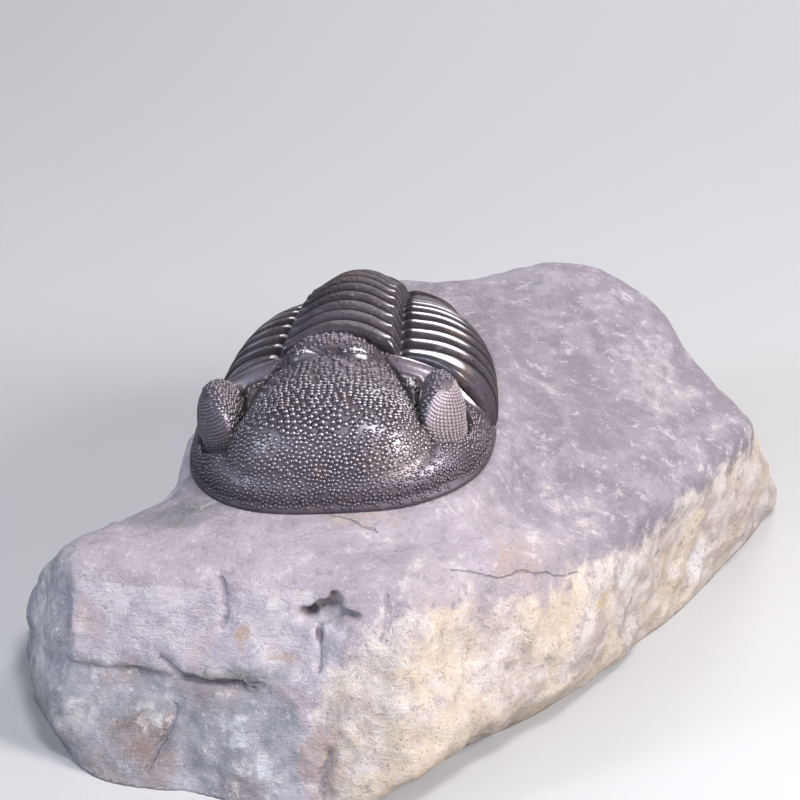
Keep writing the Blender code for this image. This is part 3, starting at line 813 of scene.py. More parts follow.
# Lamps: name, direction in plan, height in degrees, size and distance in mm, watts, colour, and whether the
# lamp serves the gloss, the plain colours or both
LAMPS = (
    ("right lamp", -36.0, 34.0, 110.0, 280.0, 1.35, (1.0, 0.97, 0.98), "both"),
    ("top lamp", -76.0, 60.0, 75.0, 380.0, 1.10, (1.0, 0.98, 1.0), "both"),
    ("back lamp", 72.0, 26.0, 150.0, 420.0, 1.00, (1.0, 0.97, 1.0), "plain"),
    ("left lamp", 204.0, 24.0, 80.0, 400.0, 1.00, (0.66, 0.80, 1.0), "both"),
    ("front lamp", -128.0, 40.0, 380.0, 460.0, 0.85, (0.96, 0.95, 1.0), "plain"),
    ("right sheen", -54.0, 36.0, 200.0, 280.0, 1.70, (1.0, 0.95, 0.97), "gloss"),
    ("left sheen", 226.0, 30.0, 150.0, 400.0, 0.40, (0.62, 0.76, 1.0), "gloss"),
    ("back sheen", 78.0, 28.0, 270.0, 420.0, 2.80, (1.0, 0.96, 1.0), "gloss"),
    ("back left sheen", 120.0, 24.0, 110.0, 400.0, 0.08, (0.70, 0.82, 1.0), "gloss"),
)
# The lamps are aimed at a point this high
LAMP_AIM = 15.0
SKY = (0.07, 0.07, 0.075)
FLOOR_SIZE = 3000.0
FLOOR_COLOUR = (0.34, 0.34, 0.34)

# The share of their brightness that the stone's colours keep
STONE_LIGHT = 0.53
# Stains and pale patches of the block, and painted shade under the ledge, in the dark hollow and in the pit:
# name, middle, reach in mm, colour, strength
STAINS_AND_PAINTED_SHADE = (
    ("brown by the lower step", (-24.8, -20.5, 4.8), (4.4, 4.0, 3.0), (0.22, 0.14, 0.115), 0.85),
    ("brown on the left", (-27.0, -18.5, 9.5), (3.6, 3.0, 1.6), (0.33, 0.24, 0.22), 0.5),
    ("pale low left", (-31.4, -19.0, 4.9), (2.7, 3.0, 2.3), (0.66, 0.64, 0.62), 0.8),
    ("small white", (-24.0, -20.0, 6.4), (1.1, 1.5, 1.3), (0.80, 0.78, 0.78), 0.9),
    ("ochre ring", (-15.5, -19.2, 14.4), (1.2, 1.2, 1.3), (0.55, 0.36, 0.20), 0.75),
    ("ochre spot", (-11.4, -20.2, 13.3), (1.5, 1.2, 1.2), (0.50, 0.33, 0.20), 0.75),
    ("white by the ochre", (-13.4, -19.9, 14.2), (1.5, 1.2, 1.4), (0.78, 0.76, 0.76), 0.8),
    ("shade under the ledge", (-15.8, -20.4, 10.8), (6.0, 2.5, 1.3), (0.15, 0.155, 0.15), 0.75),
    ("white at the far right", (30.6, 11.3, 4.6), (2.6, 3.6, 3.0), (0.88, 0.87, 0.90), 0.95),
    ("white on the right", (21.9, -3.7, 12.2), (2.2, 2.6, 1.2), (0.90, 0.87, 0.83), 0.9),
    ("yellow at the right", (28.7, 8.6, 3.7), (1.2, 1.2, 0.7), (0.60, 0.44, 0.14), 0.85),
    ("yellow in the middle", (19.9, -6.9, 11.0), (1.4, 1.4, 0.7), (0.58, 0.43, 0.16), 0.85),
    ("rust", (11.5, -12.3, 19.1), (3.4, 3.4, 2.2), (0.50, 0.34, 0.27), 0.6),
    ("ochre band", (4.0, -19.0, 17.0), (5.0, 3.0, 1.5), (0.72, 0.56, 0.38), 0.5),
    # Painted shade in the hollow beside the head's left side
    ("dark hollow", (-21.0, -7.0, 21.2), (5.5, 2.6, 2.4), (0.13, 0.14, 0.135), 0.8),
    ("tan by the head", (-3.8, -11.0, 22.8), (4.5, 1.4, 1.2), (0.50, 0.41, 0.31), 0.65),
    ("white lower patch", (-15.6, -22.2, 6.7), (1.7, 1.6, 1.0), (0.72, 0.73, 0.76), 0.85),
    ("white strip", (-12.0, -25.0, 3.5), (3.2, 2.5, 1.2), (0.66, 0.68, 0.72), 0.75),
    ("dark middle of the top", (20.5, 13.0, 21.1), (8.0, 10.0, 4.0), (0.24, 0.21, 0.26), 0.5),
    ("brown corner", (-7.6, -25.2, 5.0), (1.8, 2.6, 5.0), (0.46, 0.33, 0.30), 0.7),
    ("orange by the pit", (-9.0, -19.4, 18.9), (1.4, 1.4, 0.8), (0.62, 0.43, 0.30), 0.6),
    ("white by the pit", (-11.0, -19.0, 17.4), (1.6, 1.4, 1.2), (0.78, 0.74, 0.72), 0.8),
    ("end of the slab", (-29.8, -14.8, 14.2), (1.8, 2.0, 2.6), (0.56, 0.42, 0.38), 0.6),
    ("grey left end", (-35.0, -10.0, 10.0), (2.2, 7.0, 9.0), (0.66, 0.67, 0.65), 0.85),
    ("pale band on the right", (26.0, 21.0, 20.8), (3.5, 9.0, 5.0), (0.66, 0.59, 0.62), 0.5),
    # Painted shade in the pit
    ("pit", (-7.3, -19.4, 17.7), (2.6, 1.2, 1.6), (0.16, 0.14, 0.165), 0.7),
)

# How matte the axis and the flanks of the thorax are, and how much more so towards the tail
AXIS_MATTE = 0.7
FLANK_MATTE = 0.2
REAR_MATTE = 0.7
# The bright bars on the ribs: where across a ring they start and end, and the rings on which they fade out
BARS_FROM = (1.02, 1.1)
BARS_TO = (1.36, 1.58)
LAST_BARS = (4.0, 8.0)

# Granules of the head: the mask they grow in, the least distance between them, their width and seed
GRANULES = (
    ("large_granules", 0.54, 0.76, 3),
    ("middle_granules", 0.42, 0.58, 5),
    ("fine_granules", 0.36, 0.47, 8),
)
GRANULE_HEIGHT = 0.6
# Least and greatest share of its width that a granule has
GRANULE_SPREAD = (0.8, 1.12)
GRANULE_SIDES = 6
GRANULE_RINGS = 4
# Granules to a square metre before the distance between them thins them out
MOST_GRANULES = 9e7
# Lenses: width, flatness, files and rows. The files start at an angle in plan and reach over another, and
# the rows start at an angle in height and stand a step apart
LENS_WIDTH = 0.40
LENS_FLATNESS = 0.6
LENS_FILES = 20
LENS_ROWS = 17
LENS_PLAN = (-96.0, 140.0)
LENS_LEAN = (-46.0, 6.2)
# The reach of an eye's surface round the curled eye, as a share of its radius
LENS_REACH = 0.98


def pick(sockets, name):
    """A socket by its place, its identifier or its name."""
    if isinstance(name, int):
        return sockets[name]
    for socket in sockets:
        if socket.identifier == name:
            return socket
    return next(socket for socket in sockets if socket.name == name and socket.enabled)


def sum_node(operation, turned=False):
    """A method that adds the node for a sum. Turned, the wire itself is the second term."""
    def write(self, other):
        terms = (other, self) if turned else (self, other)
        return self.maths(operation, *terms)
    return write


class Wire:
    """An output socket of a node tree. A sum written on it adds the nodes that work it out."""

    __add__, __radd__ = sum_node("ADD"), sum_node("ADD", True)
    __sub__, __rsub__ = sum_node("SUBTRACT"), sum_node("SUBTRACT", True)
    __mul__, __rmul__ = sum_node("MULTIPLY"), sum_node("MULTIPLY", True)
    __truediv__, __rtruediv__ = sum_node("DIVIDE"), sum_node("DIVIDE", True)
    least, most = sum_node("MINIMUM"), sum_node("MAXIMUM")

    def __init__(self, tree, socket):
        self.tree = tree
        self.socket = socket

    def maths(self, operation, *terms):
        return self.tree.add("ShaderNodeMath", {"operation": operation}, dict(enumerate(terms)))

    def over(self, low, high, start=0.0, end=1.0):
        """A smooth change from start to end, as this value goes from low to high."""
        sockets = {"Value": self, "From Min": low, "From Max": high, "To Min": start, "To Max": end}
        return self.tree.add("ShaderNodeMapRange", {"interpolation_type": "SMOOTHSTEP"}, sockets)


class Tree:
    """A node tree that is filled one node at a time."""

    def __init__(self, nodes_of):
        self.nodes_of = nodes_of

    def add(self, kind, settings=None, sockets=None, result=0):
        """A new node: first its settings, then its sockets' values or links. Gives one of its outputs."""
        node = self.nodes_of.nodes.new(kind)
        for name, value in (settings or {}).items():
            setattr(node, name, value)
        for name, value in (sockets or {}).items():
            socket = pick(node.inputs, name)
            if isinstance(value, Wire):
                self.nodes_of.links.new(value.socket, socket)
            else:
                socket.default_value = value
        return Wire(self, pick(node.outputs, result))

    def vector(self, operation, *terms, **named):
        """A sum on vectors."""
        sockets = dict(enumerate(terms))
        sockets.update(named)
        result = "Value" if operation in ("DOT_PRODUCT", "LENGTH", "DISTANCE") else "Vector"
        return self.add("ShaderNodeVectorMath", {"operation": operation}, sockets, result)

    def blend(self, share, one, two):
        """A colour that goes from one to two."""
        sockets = {"Factor_Float": share}
        for name, colour in (("A_Color", one), ("B_Color", two)):
            sockets[name] = colour if isinstance(colour, Wire) else (*colour, 1.0)
        return self.add("ShaderNodeMix", {"data_type": "RGBA"}, sockets, "Result_Color")

    def lay(self, colour, *layers):
        """The colour with others laid over it, each by its share."""
        for share, tint in layers:
            colour = self.blend(share, colour, tint)
        return colour

    def noise(self, where, size, detail=3.0, rough=0.5, bend=0.0):
        """Noise around 0.5 whose lumps are about size millimetres across."""
        sockets = {"Vector": where, "Scale": 1.0 / size, "Detail": detail,
                   "Roughness": rough, "Distortion": bend}
        return self.add("ShaderNodeTexNoise", None, sockets)

    def cells(self, where, size, feature="F1"):
        """The distance to the middle of cells about size millimetres across, or to their edges."""
        sockets = {"Vector": where, "Scale": 1.0 / size}
        return self.add("ShaderNodeTexVoronoi", {"feature": feature}, sockets, "Distance")


class Finish(Tree):
    """A material whose nodes work in millimetres on the piece's own coordinates."""

    def __init__(self, name, still):
        self.material = bpy.data.materials.new(name)
        self.material.use_nodes = True
        super().__init__(self.material.node_tree)
        self.surface = self.nodes_of.nodes["Principled BSDF"]
        for socket, value in still.items():
            self.surface.inputs[socket].default_value = value
        own = self.add("ShaderNodeTexCoord", result="Object")
        self.where = self.vector("SCALE", own, Scale=1.0 / MM)

    def mask(self, name):
        """A number kept with the mesh's points."""
        return self.add("ShaderNodeAttribute", {"attribute_name": name}, result="Fac")

    def feed(self, colour, roughness, height, depth, **others):
        """Joins the finished values to the surface. height from 0 to 1 stands for depth millimetres."""
        links = {"Height": height, "Strength": 1.0, "Distance": depth * MM}
        bump = self.add("ShaderNodeBump", None, links)
        others.update({"Base Color": colour, "Roughness": roughness, "Normal": bump})
        for name, value in others.items():
            self.nodes_of.links.new(value.socket, self.surface.inputs[name])


def calcite_finish(name, sheen, coat_roughness):
    """Dark, polished calcite with a violet sheen, brown stains, a dusty paler tone with painted light on the
    head's lit right side, and painted shade in its furrows and joints.
    """
    still = {"Specular IOR Level": sheen, "Specular Tint": (1.0, 0.84, 1.0, 1.0),
             "Coat Roughness": coat_roughness, "Coat IOR": 1.6}
    finish = Finish(name, still)
    where = finish.where
    patches = finish.noise(where, 5.0, 3.0, 0.6)
    grain = finish.noise(where, 0.35, 4.0, 0.6)
    specks = finish.noise(where, 0.9, 2.0, 0.5)
    stain = finish.noise(where, 3.1, 4.0, 0.65, 0.6)
    # Paler on the head's lit right side and the right eye: a dusty tone and painted light
    dust_and_painted_light = finish.mask("dust_and_painted_light") * grain.over(0.35, 0.7)
    groove = finish.mask("groove")
    matte = finish.mask("matte")
    colour = finish.blend(patches.over(0.35, 0.65), (0.020, 0.016, 0.019), (0.044, 0.037, 0.045))
    colour = finish.lay(
        colour,
        (stain.over(0.56, 0.70) * 0.6, (0.075, 0.048, 0.030)),
        (specks.over(0.60, 0.75) * 0.35, (0.16, 0.14, 0.14)),
        (dust_and_painted_light, (0.20, 0.168, 0.14)),
        # Painted shade: near black in the furrows and eye grooves, on the low front and rim of the head, and
        # in the joints between the rings
        (groove * 0.8, (0.008, 0.007, 0.008)),
        (matte * 0.3, (0.012, 0.010, 0.012)),
        # Painted light: only the right eye's lenses, on the lit side, are paler
        (finish.mask("lens") * 0.9, (0.21, 0.18, 0.19)))
    roughness = 0.30 + 0.14 * patches + 0.14 * grain + 0.3 * dust_and_painted_light + 0.3 * groove
    roughness = roughness + 0.25 * matte - 0.13 * finish.mask("bead")
    warts = finish.cells(where, 0.55).over(0.1, 0.6, 1.0, 0.0)
    height = 0.6 * grain + 0.4 * finish.noise(where, 0.16, 2.0, 0.5) + 1.1 * warts * matte
    coat = finish.mask("gloss") + 0.1 * finish.mask("bead")
    finish.feed(colour, roughness, height, 0.06, **{"Coat Weight": coat})
    return finish.material


def stained_and_shaded(finish, own, uneven, colour):
    """The colour with the block's stains, pale patches and painted shade laid over it."""
    for _, centre, reach, tint, strength in STAINS_AND_PAINTED_SHADE:
        away = finish.vector("SUBTRACT", own, centre)
        away = finish.vector("MULTIPLY", away, tuple(1.0 / part for part in reach))
        share = finish.vector("LENGTH", away).over(0.35, 1.2, strength, 0.0) * uneven
        colour = finish.blend(share, colour, tint)
    return colour


def painted_crack_shade(finish, own):
    """How much shade is painted on each point along the cracks and grooves."""
    dark = None
    for _, azimuth, lean, _, _, width, route in CUTS:
        out = outward(azimuth, lean)
        proud = FLATTENING * finish.vector("DOT_PRODUCT", own, tuple(out))
        depth = finish.vector("SCALE", tuple(out), Scale=proud)
        flat = finish.vector("SUBTRACT", own, depth)
        marks = flattened(np.array(route), azimuth, lean)
        near = None
        for a, b in zip(marks[:-1], marks[1:]):
            away = finish.vector("SUBTRACT", flat, tuple(a))
            along = finish.vector("DOT_PRODUCT", away, tuple((b - a) / ((b - a) @ (b - a))))
            along = along.least(1.0).most(0.0)
            one = finish.vector("DISTANCE", away, finish.vector("SCALE", tuple(b - a), Scale=along))
            near = one if near is None else near.least(one)
        line = near.over(0.4 * width, 1.5 * width, 1.0, 0.0)
        dark = line if dark is None else dark.most(line)
    return dark


def limestone_finish():
    """Violet grey limestone on top, bluish on the left, and cream where the front is freshly broken."""
    finish = Finish("limestone finish", {"Specular IOR Level": 0.35})
    own = finish.vector("SUBTRACT", finish.where, WORLD_SHIFT)
    patches = finish.noise(own, 3.4, 5.0, 0.62, 0.4)
    broad = finish.noise(own, 9.0, 4.0, 0.6, 0.4)
    mottle = finish.noise(own, 1.5, 6.0, 0.74, 0.3)
    grain = finish.noise(own, 0.45, 5.0, 0.7)
    fine = finish.noise(own, 0.16, 3.0, 0.6)
    speckle = finish.noise(own, 0.30, 3.0, 0.75)
    smear = finish.vector("MULTIPLY", own, (0.22, 1.0, 1.2))
    streaks = finish.noise(smear, 0.42, 5.0, 0.62, 0.8)
    smudges = finish.noise(smear, 1.3, 4.0, 0.6, 0.5)
    jitter = finish.add("ShaderNodeTexNoise", None, {"Vector": own, "Scale": 0.45, "Detail": 4.0}, "Color")
    jitter = finish.vector("SUBTRACT", jitter, (0.5, 0.5, 0.5))
    ragged = finish.vector("ADD", own, finish.vector("SCALE", jitter, Scale=6.0))
    wavy = finish.vector("ADD", own, finish.vector("SCALE", jitter, Scale=1.6))
    edge = (patches - 0.5) * 1.6 + (mottle - 0.5) * 0.8
    cream = (finish.mask("cream") + edge).over(0.25, 0.75)
    blue = (finish.mask("blue") + edge * 0.8).over(0.36, 0.64)
    slab = (finish.mask("slab") + edge * 0.5).over(0.42, 0.58)

    front_side = finish.vector("DOT_PRODUCT", own, (0.0, -1.0, 0.0)).over(0.0, 14.0)
    top = finish.lay(
        finish.blend(patches.over(0.38, 0.64), (0.275, 0.235, 0.285), (0.42, 0.37, 0.43)),
        (smudges.over(0.52, 0.68) * 0.5, (0.23, 0.225, 0.29)),
        (front_side * (0.1 + 0.8 * broad), (0.66, 0.57, 0.60)),
        (streaks.over(0.60, 0.74) * 0.6, (0.72, 0.68, 0.71)))
    blue_stone = finish.lay(
        finish.blend(patches.over(0.36, 0.66), (0.27, 0.275, 0.315), (0.46, 0.445, 0.495)),
        (broad.over(0.48, 0.60) * 0.6, (0.34, 0.265, 0.26)),
        (streaks.over(0.62, 0.74) * 0.5, (0.62, 0.61, 0.64)))
    pink = finish.lay(
        finish.blend(patches.over(0.36, 0.66), (0.48, 0.44, 0.51), (0.68, 0.61, 0.66)),
        (broad.over(0.52, 0.68) * 0.45, (0.55, 0.43, 0.40)),
        (streaks.over(0.62, 0.74) * 0.4, (0.66, 0.64, 0.67)))
    low = finish.lay(
        finish.blend(patches.over(0.36, 0.64), (0.56, 0.47, 0.42), (0.84, 0.76, 0.71)),
        (broad.over(0.46, 0.62) * 0.6, (0.78, 0.63, 0.45)),
        (smudges.over(0.56, 0.70) * 0.4, (0.58, 0.52, 0.58)),
        (speckle.over(0.57, 0.67) * 0.6, (0.33, 0.25, 0.22)))

    colour = finish.lay(top, (blue, blue_stone), (slab, pink), (cream, low))
    colour = stained_and_shaded(finish, ragged, mottle.over(0.36, 0.58, 0.3, 1.0), colour)
    colour = finish.lay(
        colour,
        (mottle.over(0.54, 0.66) * 0.50, (0.85, 0.80, 0.80)),
        (mottle.over(0.46, 0.34) * 0.45, (0.20, 0.18, 0.22)),
        (speckle.over(0.58, 0.70) * 0.5, (0.18, 0.155, 0.17)),
        ((grain - fine).over(0.10, 0.26) * 0.28, (0.84, 0.81, 0.81)))
    colour = finish.vector("SCALE", colour, Scale=STONE_LIGHT)
    # Painted shade along the cracks and grooves
    dark = painted_crack_shade(finish, wavy)
    colour = finish.blend(dark * grain.over(0.32, 0.62, 0.0, 0.7), colour, (0.13, 0.12, 0.15))
    roughness = 0.88 - 0.2 * grain
    height = 0.5 * grain + 0.2 * fine + 0.3 * streaks - 0.4 * dark
    finish.feed(colour, roughness, height, 0.5)
    return finish.material


def floor_finish():
    """A pale, matt floor with a faint mottle."""
    finish = Finish("floor finish", {"Specular IOR Level": 0.2})
    mottle = finish.noise(finish.where, 40.0, 3.0, 0.5)
    light = tuple(1.04 * part for part in FLOOR_COLOUR)
    colour = finish.blend(mottle, FLOOR_COLOUR, light)
    finish.feed(colour, 0.8 + 0.05 * mottle, finish.noise(finish.where, 2.0), 0.02)
    return finish.material


class Shaper(Tree):
    """A Geometry Nodes tree with named inputs."""

    def __init__(self, name, inputs):
        self.group = bpy.data.node_groups.new(name, "GeometryNodeTree")
        super().__init__(self.group)
        self.group.interface.new_socket("Geometry", in_out="INPUT", socket_type="NodeSocketGeometry")
        self.group.interface.new_socket("Geometry", in_out="OUTPUT", socket_type="NodeSocketGeometry")
        self.identifiers = {}
        for label, kind in inputs.items():
            made = self.group.interface.new_socket(label, in_out="INPUT", socket_type=f"NodeSocket{kind}")
            self.identifiers[label] = made.identifier
        self.start = self.group.nodes.new("NodeGroupInput")
        self.end = self.group.nodes.new("NodeGroupOutput")

    def given(self, label):
        """One of the tree's inputs."""
        return Wire(self, self.start.outputs[label])

    def named(self, name, kind="FLOAT"):
        """A value kept with the mesh's points."""
        return self.add("GeometryNodeInputNamedAttribute", {"data_type": kind}, {"Name": name}, "Attribute")

    def close(self, geometry, material):
        """Ends the tree in a plain mesh with one material."""
        geometry = self.add("GeometryNodeRealizeInstances", None, {"Geometry": geometry})
        geometry = self.add("GeometryNodeSetMaterial", None, {"Geometry": geometry, "Material": material})
        self.nodes_of.links.new(geometry.socket, self.end.inputs[0])

    def run(self, piece, values):
        """Gives the piece the mesh that the tree makes of it."""
        modifier = piece.modifiers.new(self.group.name, "NODES")
        modifier.node_group = self.group
        for label, value in values.items():
            modifier[self.identifiers[label]] = value
        shown = piece.evaluated_get(bpy.context.evaluated_depsgraph_get())
        made = bpy.data.meshes.new_from_object(shown)
        piece.modifiers.remove(modifier)
        piece.data = made
        return piece


def granule_tree():
    """Raises granules on the head wherever its masks allow them, and a lens on each of the lens places."""
    inputs = {"Granule height": "Float", "Lens width": "Float", "Lenses": "Object", "Finish": "Material"}
    for i in range(len(GRANULES)):
        inputs.update({f"Spacing {i}": "Float", f"Width {i}": "Float"})
    shaper = Shaper("granules", inputs)
    skin_of_head = shaper.given("Geometry")
    sockets = {"Segments": GRANULE_SIDES, "Rings": GRANULE_RINGS, "Radius": 0.5}
    bead = shaper.add("GeometryNodeMeshUVSphere", None, sockets, "Mesh")
    sockets = {"X": 1.0, "Y": 1.0, "Z": shaper.given("Granule height")}
    squash = shaper.add("ShaderNodeCombineXYZ", None, sockets)
    bead = shaper.add("GeometryNodeTransform", None, {"Geometry": bead, "Scale": squash})
    bead = shaper.add("GeometryNodeSetShadeSmooth", None, {"Geometry": bead})
    sockets = {"Geometry": bead, "Name": "bead", "Value": 1.0}
    bead = shaper.add("GeometryNodeStoreNamedAttribute", {"data_type": "FLOAT", "domain": "POINT"}, sockets)
    parts = [skin_of_head]
    for i, (mask, _, _, seed) in enumerate(GRANULES):
        settings = {"distribute_method": "POISSON"}
        sockets = {"Mesh": skin_of_head, "Distance Min": shaper.given(f"Spacing {i}"),
                   "Density Max": MOST_GRANULES, "Density Factor": shaper.named(mask), "Seed": seed}
        points = shaper.add("GeometryNodeDistributePointsOnFaces", settings, sockets, "Points")
        turn = Wire(shaper, points.socket.node.outputs["Rotation"])
        sockets = {"Min_001": GRANULE_SPREAD[0], "Max_001": GRANULE_SPREAD[1], "Seed": seed + 20}
        uneven = shaper.add("FunctionNodeRandomValue", {"data_type": "FLOAT"}, sockets, "Value_001")
        sockets = {"Points": points, "Instance": bead, "Rotation": turn,
                   "Scale": shaper.given(f"Width {i}") * uneven}
        parts.append(shaper.add("GeometryNodeInstanceOnPoints", None, sockets))
    places = shaper.add("GeometryNodeObjectInfo", None, {"Object": shaper.given("Lenses")}, "Geometry")
    outward = shaper.named("outward", "FLOAT_VECTOR")
    turn = shaper.add("FunctionNodeAlignRotationToVector", {"axis": "Z"}, {"Vector": outward})
    width = shaper.given("Lens width")
    flat = shaper.add("ShaderNodeCombineXYZ", None, {"X": width, "Y": width, "Z": LENS_FLATNESS * width})
    sockets = {"Points": places, "Instance": bead, "Rotation": turn, "Scale": flat}
    parts.append(shaper.add("GeometryNodeInstanceOnPoints", None, sockets))
    joined = shaper.add("GeometryNodeJoinGeometry")
    for part in reversed(parts):
        shaper.nodes_of.links.new(part.socket, joined.socket.node.inputs[0])
    shaper.close(joined, shaper.given("Finish"))
    return shaper


def head_masks(points):
    """Where each size of granule grows on the head, where it is dusty and painted paler on its lit right
    side, where shade is painted in its grooves and towards its foot, and where it is matte or glossy.
    """
    side, y, z = head_sides(points)
    glabella = glabella_field(side, y, z)
    eye = eye_field(side, y, z)
    rear = y - REAR_MARGIN - sweep(side)
    on_glabella = step_down(glabella, 0.15, 0.35)
    on_eye = step_down(eye, 0.15, 0.3)
    on_node = step_down(node_field(side, y, z), 0.1, 0.35)
    ex, ey, ez = EYE_CENTRE
    lens_side = step_up(side - ex - 0.5 * (y - ey) + 0.45 * (ez + 0.8 - z), 0.0, 0.3)
    foot = step_up(z, 0.45, 0.7)
    furrow = hump(glabella - 0.35, 0.3) * step_up(z, 2.5, 4.5) + hump(eye - 0.4, 0.25)
    clear = foot * step_down(rear, -3.0, -2.4) * (1.0 - np.minimum(furrow, 1.0))
    ring = step_down(np.abs(y - RING_Y), 0.9, 1.2) * step_down(side, 5.2, 5.8)
    dull = 0.9 * step_up(y, 5.5, 10.0) * step_up(z, 6.0, 8.5) * (1.0 - on_node)
    bar = step_up(rear, -1.6, -1.2) * step_down(rear, -0.5, -0.2) * step_up(side, 6.6, 7.2)
    neck = step_up(y, 12.1, 12.6) * step_down(side, 4.5, 5.2) * step_up(z, 7.0, 8.0) * (1.0 - ring)
    back = step_up(y, 7.0, 12.0)
    fine = step_down(z, 3.7, 4.2)
    low = step_down(z, 4.0, 6.0)
    high = step_up(z, 7.0, 7.6)
    # The lit right side of the glabella, which is painted paler
    right = step_up(points[:, 0], 3.0, 8.0) * on_glabella * step_down(z, 5.0, 7.5)
    rest = (1.0 - on_glabella) * (1.0 - on_eye)
    middle = on_glabella * step_up(z, 3.7, 4.2) * (1.0 - high) + rest * clear * (1.0 - low) * 0.8
    middle = middle + on_eye * (1.0 - lens_side) + ring * 0.7 + neck * 0.6 * (1.0 - on_node)
    # Painted shade in the glabella's furrow and in the groove round each eye
    groove = hump(glabella - 0.25, 0.25) * step_up(z, 2.5, 5.0) + hump(eye - 0.35, 0.3)
    masks = {
        "large_granules": on_glabella * high * (1.0 - 0.35 * back) * (1.0 - on_node),
        "middle_granules": middle,
        "fine_granules": on_glabella * fine * foot + rest * clear * low * 0.9,
        # Paler on the lit right side of the glabella and on the right eye: a dusty tone and painted light
        "dust_and_painted_light": 0.8 * right + 0.6 * on_eye * lens_side * step_up(points[:, 0], -2.0, 2.0),
        # Painted shade in the grooves and towards the foot and rim of the head
        "groove": groove + 0.7 * step_down(z, 0.8, 3.6),
        "matte": dull,
        "gloss": 0.6 * (1.0 - dull) * step_up(z, 1.5, 4.5) * (1.0 - on_node) + on_node + bar,
    }
    return {name: np.clip(values, 0.0, 1.0) for name, values in masks.items()}


def lens_places():
    """The middles of the eyes' lenses, in upright files that stand staggered. The right eye's are marked
    pale: painted light on the lit side.
    """
    places = []
    a, b, c = EYE_RADII
    for sign in (-1.0, 1.0):
        for i in range(LENS_FILES):
            plan = math.radians(LENS_PLAN[0] + LENS_PLAN[1] * (i + 0.5) / LENS_FILES)
            for j in range(LENS_ROWS):
                lean = math.radians(LENS_LEAN[0] + LENS_LEAN[1] * (j + 0.5 * (i % 2)))
                along = c * LENS_REACH * math.sin(plan) * math.cos(lean)
                y = EYE_CENTRE[1] + along
                x = EYE_CENTRE[0] + a * math.cos(plan) * math.cos(lean) - EYE_CURL * along ** 2 + EYE_INWARD
                places.append((sign * x - HEAD_LEAN * y, y, EYE_CENTRE[2] + b * math.sin(lean)))
    places = np.array(places)
    for _ in range(6):
        places -= pull(head_field, places, 0.6)
    outwards = slope_of(head_field, places, 0.05)
    outwards /= np.linalg.norm(outwards, axis=1)[:, None]
    mesh = new_mesh("lens places", on_rock(places), [])
    # Painted light: the right eye's lenses, on the lit side, are marked pale and the left eye's stay dark
    keep(mesh, "lens", np.where(places[:, 0] > 0.0, 1.0, 0.0))
    keep(mesh, "outward", outwards @ fossil_axes().T)
    return add_object("lens places", mesh)


def cephalon_shell(finish):
    """The head shield with its granules and lenses."""
    points, faces = cut_flat(*skin(head_field, HEAD_LOW, HEAD_HIGH, HEAD_STEP), HEAD_STEP)
    piece = new_piece("cephalon_shell", on_rock(points), faces, head_masks(points))
    lenses = lens_places()
    values = {"Granule height": GRANULE_HEIGHT, "Lens width": LENS_WIDTH * MM,
              "Lenses": lenses, "Finish": finish}
    for i, (_, spacing, width, _) in enumerate(GRANULES):
        values[f"Spacing {i}"] = spacing * MM
        values[f"Width {i}"] = width * MM
    granule_tree().run(piece, values)
    bpy.data.objects.remove(lenses)
    return piece


def ring_masks(number, count):
    """How glossy and how matte each point of a ring is, and how much shade is painted on it at its ends and
    in the axial furrow.
    """
    rise = np.sin(math.pi * RING_STATIONS)[:, None]
    part = np.abs(RING_ANGLES)[None, :]
    flank = step_up(part, *BARS_FROM) * step_down(part, *BARS_TO)
    far = step_down(number, *LAST_BARS)
    knob = hump(part - KNOB_PLACE, 1.3 * KNOB_WIDTH)
    # Painted shade at the ring's ends, where it meets its neighbours, and in the axial furrow
    joint_shade = np.maximum(step_down(rise, 0.1, 0.6), hump(part - 1.03, 0.05))
    matte = AXIS_MATTE + (FLANK_MATTE - AXIS_MATTE) * flank + REAR_MATTE * number / SEGMENTS + 0.0 * rise
    grids = {"gloss": far * step_up(rise, 0.3, 0.8) * (0.8 * knob + flank), "matte": matte, "groove": joint_shade}
    masks = {}
    for name, grid in grids.items():
        masks[name] = np.zeros(count)
        masks[name][:grid.size] = grid.ravel()
    return masks


def thorax_ring(number, finish):
    """One ring of the thorax."""
    points, faces = segment_mesh(number)
    masks = ring_masks(number, len(points))
    piece = new_piece(f"thorax_ring_{number + 1:02d}", on_rock(points), faces, masks)
    piece.data.materials.append(finish)
    return piece


def tail_shield(finish):
    """The tail shield."""
    points, faces = tail_mesh()
    matte = {"matte": np.full(len(points), AXIS_MATTE + REAR_MATTE)}
    piece = new_piece("tail_shield", on_rock(points), faces, matte)
    piece.data.materials.append(finish)
    return piece


def rock_masks(points):
    """Which stone each point is of, and how far it may be roughened."""
    faces = face_distances(points)
    x, z = points[:, 0], points[:, 2]
    under = -np.maximum(faces["right top"], faces["front top"])
    starts = CREAM_DEPTH + CREAM_SLANT * np.maximum(-x, 0.0)
    cream = step_up(under - starts, -4.0, 4.0) * step_up(x, *CREAM_LIMIT)
    cream = cream * step_down(points[:, 1] - 0.75 * x, 8.0, 12.0)
    side = step_up(under, 0.6, 2.6)
    upper = step_up(z, *SLAB_FOOT) * step_up(x, *SLAB_LEFT)
    slab = side * upper * step_down(x, *SLAB_RIGHT)
    blue = side * (1.0 - upper) * step_down(x, *BLUE_LIMIT)
    loose = step_up(z, 0.0, 1.2) * step_up(footprint(off_rock(points)), 0.3, 2.0)
    return {"cream": cream, "blue": blue, "slab": slab, "loose": loose}


